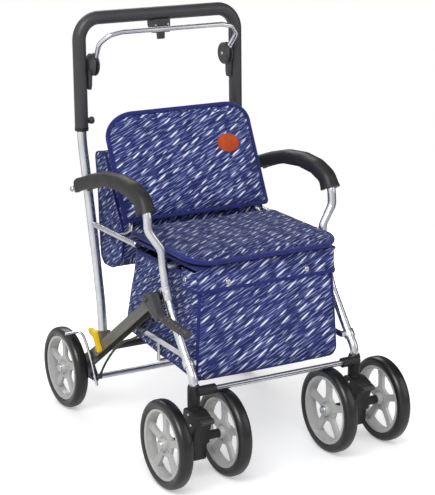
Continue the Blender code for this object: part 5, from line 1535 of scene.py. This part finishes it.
@dataclass
class Pouch:
    """The pocket behind the backrest: a soft shell with bound edges."""

    finishes: Finishes
    half: float = 0.168
    off_line: float = 0.0228  # its front's distance behind the backrest's middle line
    rear: tuple[Pair, ...] = (
        (0.078, -0.084),
        (0.117, -0.084),
        (0.131, -0.071),
        (0.136, -0.016),
        (0.141, 0.072),
        (0.148, 0.124),
        (0.151, 0.148),
    )

    def outline(self) -> Path:
        """The side view, from the lower front corner round the rear to the top and down its front."""
        points = [side_point(0, (L.hinge_y, L.rail_z), shift) for shift in self.rear]
        front = [behind_line(k / 200, self.off_line) for k in range(200)]
        for height in (0.157, 0.114, 0.064, 0.014):
            points.append(min(front, key=lambda p: abs(p.z - L.rail_z - height)))
        points.append(points[-1] + Vector((0, -0.0088, -0.024)))
        points.append(Vector((0, 0.086, 0.362)))
        return rounded(points, 0.012, radians(15), closed=True)

    def stations(self) -> list[Pair]:
        """Places across the pouch with how far the outline is drawn in at each."""
        turns = [radians(a) for a in (0, 30, 60, 90)]
        right = [(self.half - 0.0016 * (1 - cos(a)), 0.0026 * (1 - sin(a))) for a in turns]
        right += [(x, 0.0) for x in (0.150, 0.125, 0.1, 0.075, 0.05, 0.025, 0.0)]
        return [(-x, s) for x, s in right] + right[-2::-1]

    def build(self) -> None:
        """Builds the pouch and its bound edges."""
        log.info("rear pouch")
        loop = spaced(self.outline(), 0.008)[:-1]
        middle = sum(loop, Vector()) / len(loop)
        inward = [(middle - p).normalized() for p in loop]
        rings = []
        for x, shrink in self.stations():
            ring = []
            for p, way in zip(loop, inward):
                q = p + way * shrink
                belly = 0.004 * (1 - (x / self.half) ** 2) * (p.y > 0.165)
                dent = 0.0022 * noise.noise(Vector((x * 14, q.y * 14, q.z * 10)))
                ring.append(Vector((x, q.y + (belly + dent) * (q.y > 0.15), q.z)))
            rings.append(ring)
        form = Form()
        form.rows(rings)
        shell = form.make("pouch_cloth", radians(50))
        lay_cloth(shell)
        fit(shell, "upright", Slot.CLOTH, self.finishes.side_cloth, "rear_pouch")
        tape = Form()
        for side in (1, -1):
            edge = [p + way * 0.0002 + X * (side * (self.half - 0.0016)) for p, way in zip(loop, inward)]
            tape.sweep(edge, soft_box(0.0028, 0.0012, 0.001, 2), X, loop=True)
        fit(tape.make("pouch_binding", radians(60)), "upright", Slot.CLOTH, self.finishes.tape)


@dataclass
class Cable:
    """The sheathed cable along the left rear leg."""

    finishes: Finishes
    radius: float = 0.0024
    x: float = -0.2007
    end: Pair = (0.1305, 0.0980)
    bends: tuple[Pair, ...] = (
        (0.003, -0.045),
        (0.045, -0.082),
        (0.089, -0.108),
        (0.125, -0.124),
        (0.163, -0.148),
        (0.194, -0.175),
        (0.224, -0.208),
    )

    def build(self) -> None:
        """Builds the sheath and its two ferrules."""
        points = [side_point(self.x, L.leg_pivot, bend) for bend in self.bends]
        points.append(side_point(self.x, self.end))
        smooth = [curve_at(points, k / 70)[0] for k in range(71)]
        form = Form()
        form.sweep(smooth, circle(self.radius, 14))
        for path in (smooth[:5], smooth[-6:]):
            form.sweep([path[0], path[-1]], circle(self.radius + 0.0006, 14), tip=0.0004)
        fit(form.make("cable_sheath"), "rear_legs", Slot.SHEATH, self.finishes.sheath, "brake_cable")


@dataclass
class Softened:
    """Copies of the solids that still show, with softly rounded edges."""

    finishes: Finishes
    tube: Path  # axis of the right front tube
    foot_top: float = 0.200
    sleeve_r: float = 0.0138
    round_names: tuple[str, ...] = ("yoke", "lock", "lever")

    def build(self, frame: dict) -> None:
        """Copies every solid of the frame that isn't replaced.
        """
        members = frame["record"]["behaviour"]["bodies"].items()
        bodies = {node: body for body, nodes in members for node in nodes}
        slots = {item["node"]: Slot(item["material_slot"]) for item in frame["record"]["subparts"]}
        for name, node in sorted(frame["nodes"].items()):
            if node.hide_render:
                continue
            form = Form()
            form.mesh.from_mesh(node.data)
            parts = {"verts": form.mesh.verts, "edges": form.mesh.edges}
            bmesh.ops.remove_doubles(form.mesh, verts=form.mesh.verts, dist=1e-5)
            bmesh.ops.dissolve_limit(form.mesh, angle_limit=radians(1), **parts)
            if name.startswith("upright_"):  # only the foot shows beside the smooth tube
                tall = [face for face in form.mesh.faces if face.calc_center_median().z > self.foot_top]
                bmesh.ops.delete(form.mesh, geom=tall, context="FACES")
            width = 0.0007 if any(word in name for word in self.round_names) else 0.0004
            piece = form.make(name + "_soft", radians(42), width)
            fit(piece, bodies[name], slots[name], self.finishes.of(slots[name], name), name)
            if name.startswith("leg_bracket"):
                self.brighten_sleeve(piece)

    def brighten_sleeve(self, piece: Piece) -> None:
        """Gives the part of a bracket that wraps its tube the tube's finish."""
        route = stretch(self.tube, 0, length_of(self.tube), 0.002)
        piece.data.materials.append(self.finishes.tube)
        for polygon in piece.data.polygons:
            here = side_point(abs(polygon.center.x), polygon.center.yz)
            if min((here - p).length for p in route) < self.sleeve_r:
                polygon.material_index = 1


def yoke_screws(screws: Repeat, finishes: Finishes) -> None:
    """Screws on both faces of the caster yokes."""
    places = ((-0.250, 0.137), (-0.259, 0.118), (-0.243, 0.104))
    for side, sign in (("right", 1), ("left", -1)):
        spots = []
        for face in (-1, 1):
            x = sign * L.frame_x + face * 0.0165
            spots += [(side_point(x, place), X * face, Y) for place in places]
        piece = screws.place(f"yoke_screws_{side}", spots, 1.0, 1.2)
        fit(piece, f"caster_{side}", Slot.STEEL, finishes.steel)


class Studio:
    """Camera, light, floor and backdrop."""

    def camera(self) -> None:
        """The photograph's view."""
        data = bpy.data.cameras.new("camera")
        data.sensor_fit, data.sensor_width, data.lens = "HORIZONTAL", 36, 140.5
        data.clip_end = 50
        camera = new_piece("camera", data)
        camera.location = (-1.6861, -2.9039, 1.2939)
        camera.rotation_euler = (radians(74.80), 0, radians(-30.27))
        bpy.context.scene.camera = camera

    def lamp(self, name: str, place: Sequence[float], size: Pair, power: float) -> None:
        """A rectangular area lamp that faces the object's middle."""
        data = bpy.data.lights.new(name, "AREA")
        data.shape, data.size, data.size_y, data.energy = "RECTANGLE", *size, power
        lamp = new_piece(name, data)
        lamp.location = place
        lamp.rotation_euler = (Vector((0, 0, 0.4)) - Vector(place)).to_track_quat("-Z", "Y").to_euler()

    def world(self) -> None:
        """White where it is seen or mirrored, softer where it lights, with darker bands for the metal."""
        world = bpy.data.worlds.new("studio")
        bpy.context.scene.world = world
        world.use_nodes = True
        world.node_tree.nodes.clear()
        w = Wiring(world.node_tree)
        ray = w.add("ShaderNodeLightPath").outputs
        seen = w.sum("MAXIMUM", ray["Is Camera Ray"], ray["Is Glossy Ray"])
        seen = w.sum("MAXIMUM", seen, ray["Is Transmission Ray"])
        way = w.add("ShaderNodeTexCoord").outputs["Generated"]
        parts = [
            w.vector("DOT_PRODUCT", way, heading, output="Value")
            for heading in ((0.864, -0.504, 0.0), (0.504, 0.864, 0.0))
        ]
        turn = w.sum("ARCTAN2", *parts)
        inputs = {0: turn, 1: 0.5 / pi, 2: 0.5}
        share = w.add("ShaderNodeMath", inputs, operation="MULTIPLY_ADD").outputs[0]
        band = w.add("ShaderNodeValToRGB", {0: share})
        band.color_ramp.interpolation = "EASE"
        ends = band.color_ramp.elements
        ends[0].color = ends[-1].color = (0.66, 0.66, 0.66, 1)
        for position, shade in (
            (0.08, 1.0),
            (0.27, 1.0),
            (0.36, 0.45),
            (0.46, 0.25),
            (0.54, 0.10),
            (0.68, 0.06),
            (0.78, 0.35),
            (0.88, 0.55),
        ):
            ends.new(position).color = (shade, shade, shade, 1)
        level = w.sum("MAXIMUM", w.sum("MAXIMUM", band.outputs[0], ray["Is Camera Ray"]), 0.05)
        plain, mirrored = [
            w.add("ShaderNodeBackground", {"Color": (1, 1, 1, 1), "Strength": strength}).outputs[0]
            for strength in (0.50, level)
        ]
        mixed = w.add("ShaderNodeMixShader", {0: seen, 1: plain, 2: mirrored}).outputs[0]
        w.add("ShaderNodeOutputWorld", {0: mixed})

    def floor(self) -> None:
        """A wide pale floor that keeps the object's shadow."""
        w = Paint("pale floor")
        shade = w.mix(w.noise(0.02, 3), linear(238, 238, 238), linear(242, 242, 242))
        ray = w.add("ShaderNodeLightPath").outputs["Is Camera Ray"]
        far = w.vector("LENGTH", w.place, output="Value")
        glow = w.sum("MULTIPLY", ray, w.ramp(far, 0.35, 1.1, 0.36, 1.0))
        w.set(Base_Color=shade, Roughness=0.75, Specular_IOR_Level=0.1)
        w.set(Emission_Color=(1, 1, 1, 1), Emission_Strength=glow)
        places = (-1.4, -0.5, 0.5, 1.4)
        form = Form()
        form.rows([[Vector((x, y, -0.0004)) for y in places] for x in places], around=False)
        floor = form.make("floor")
        floor.data.materials.append(w.material)
        if floor.data.polygons[0].normal.z < 0:
            floor.data.flip_normals()

    def build(self) -> None:
        """Sets up the whole studio."""
        bpy.context.scene.view_settings.view_transform = "Standard"
        self.camera()
        self.world()
        self.floor()
        self.lamp("key", (-1.6, -1.8, 2.6), (2.0, 1.6), 62)
        self.lamp("fill", (2.2, -2.0, 1.6), (2.0, 2.0), 14)
        self.lamp("back", (0.5, 2.4, 2.2), (2.0, 1.2), 24)


def main() -> None:
    """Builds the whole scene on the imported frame."""
    logging.basicConfig(level=logging.INFO, format="%(message)s")
    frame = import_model()
    Studio().build()
    finishes = Finishes()
    fittings = Fittings()
    screws, snaps = fittings.screw(finishes.steel), fittings.snap(finishes.steel)
    stitches = fittings.stitches(finishes.thread)
    tubes = Tubes(finishes)
    tubes.build()
    Armrests(finishes, tubes.front_route()).build(screws)
    Handle(finishes).build(screws)
    Wheels(finishes).build()
    SeatAndBack(finishes, stitches).build()
    Bag(finishes, snaps).build()
    Pouch(finishes).build()
    Cable(finishes).build()
    yoke_screws(screws, finishes)
    Softened(finishes, tubes.front_route()).build(frame)


if __name__ == "__main__":
    main()
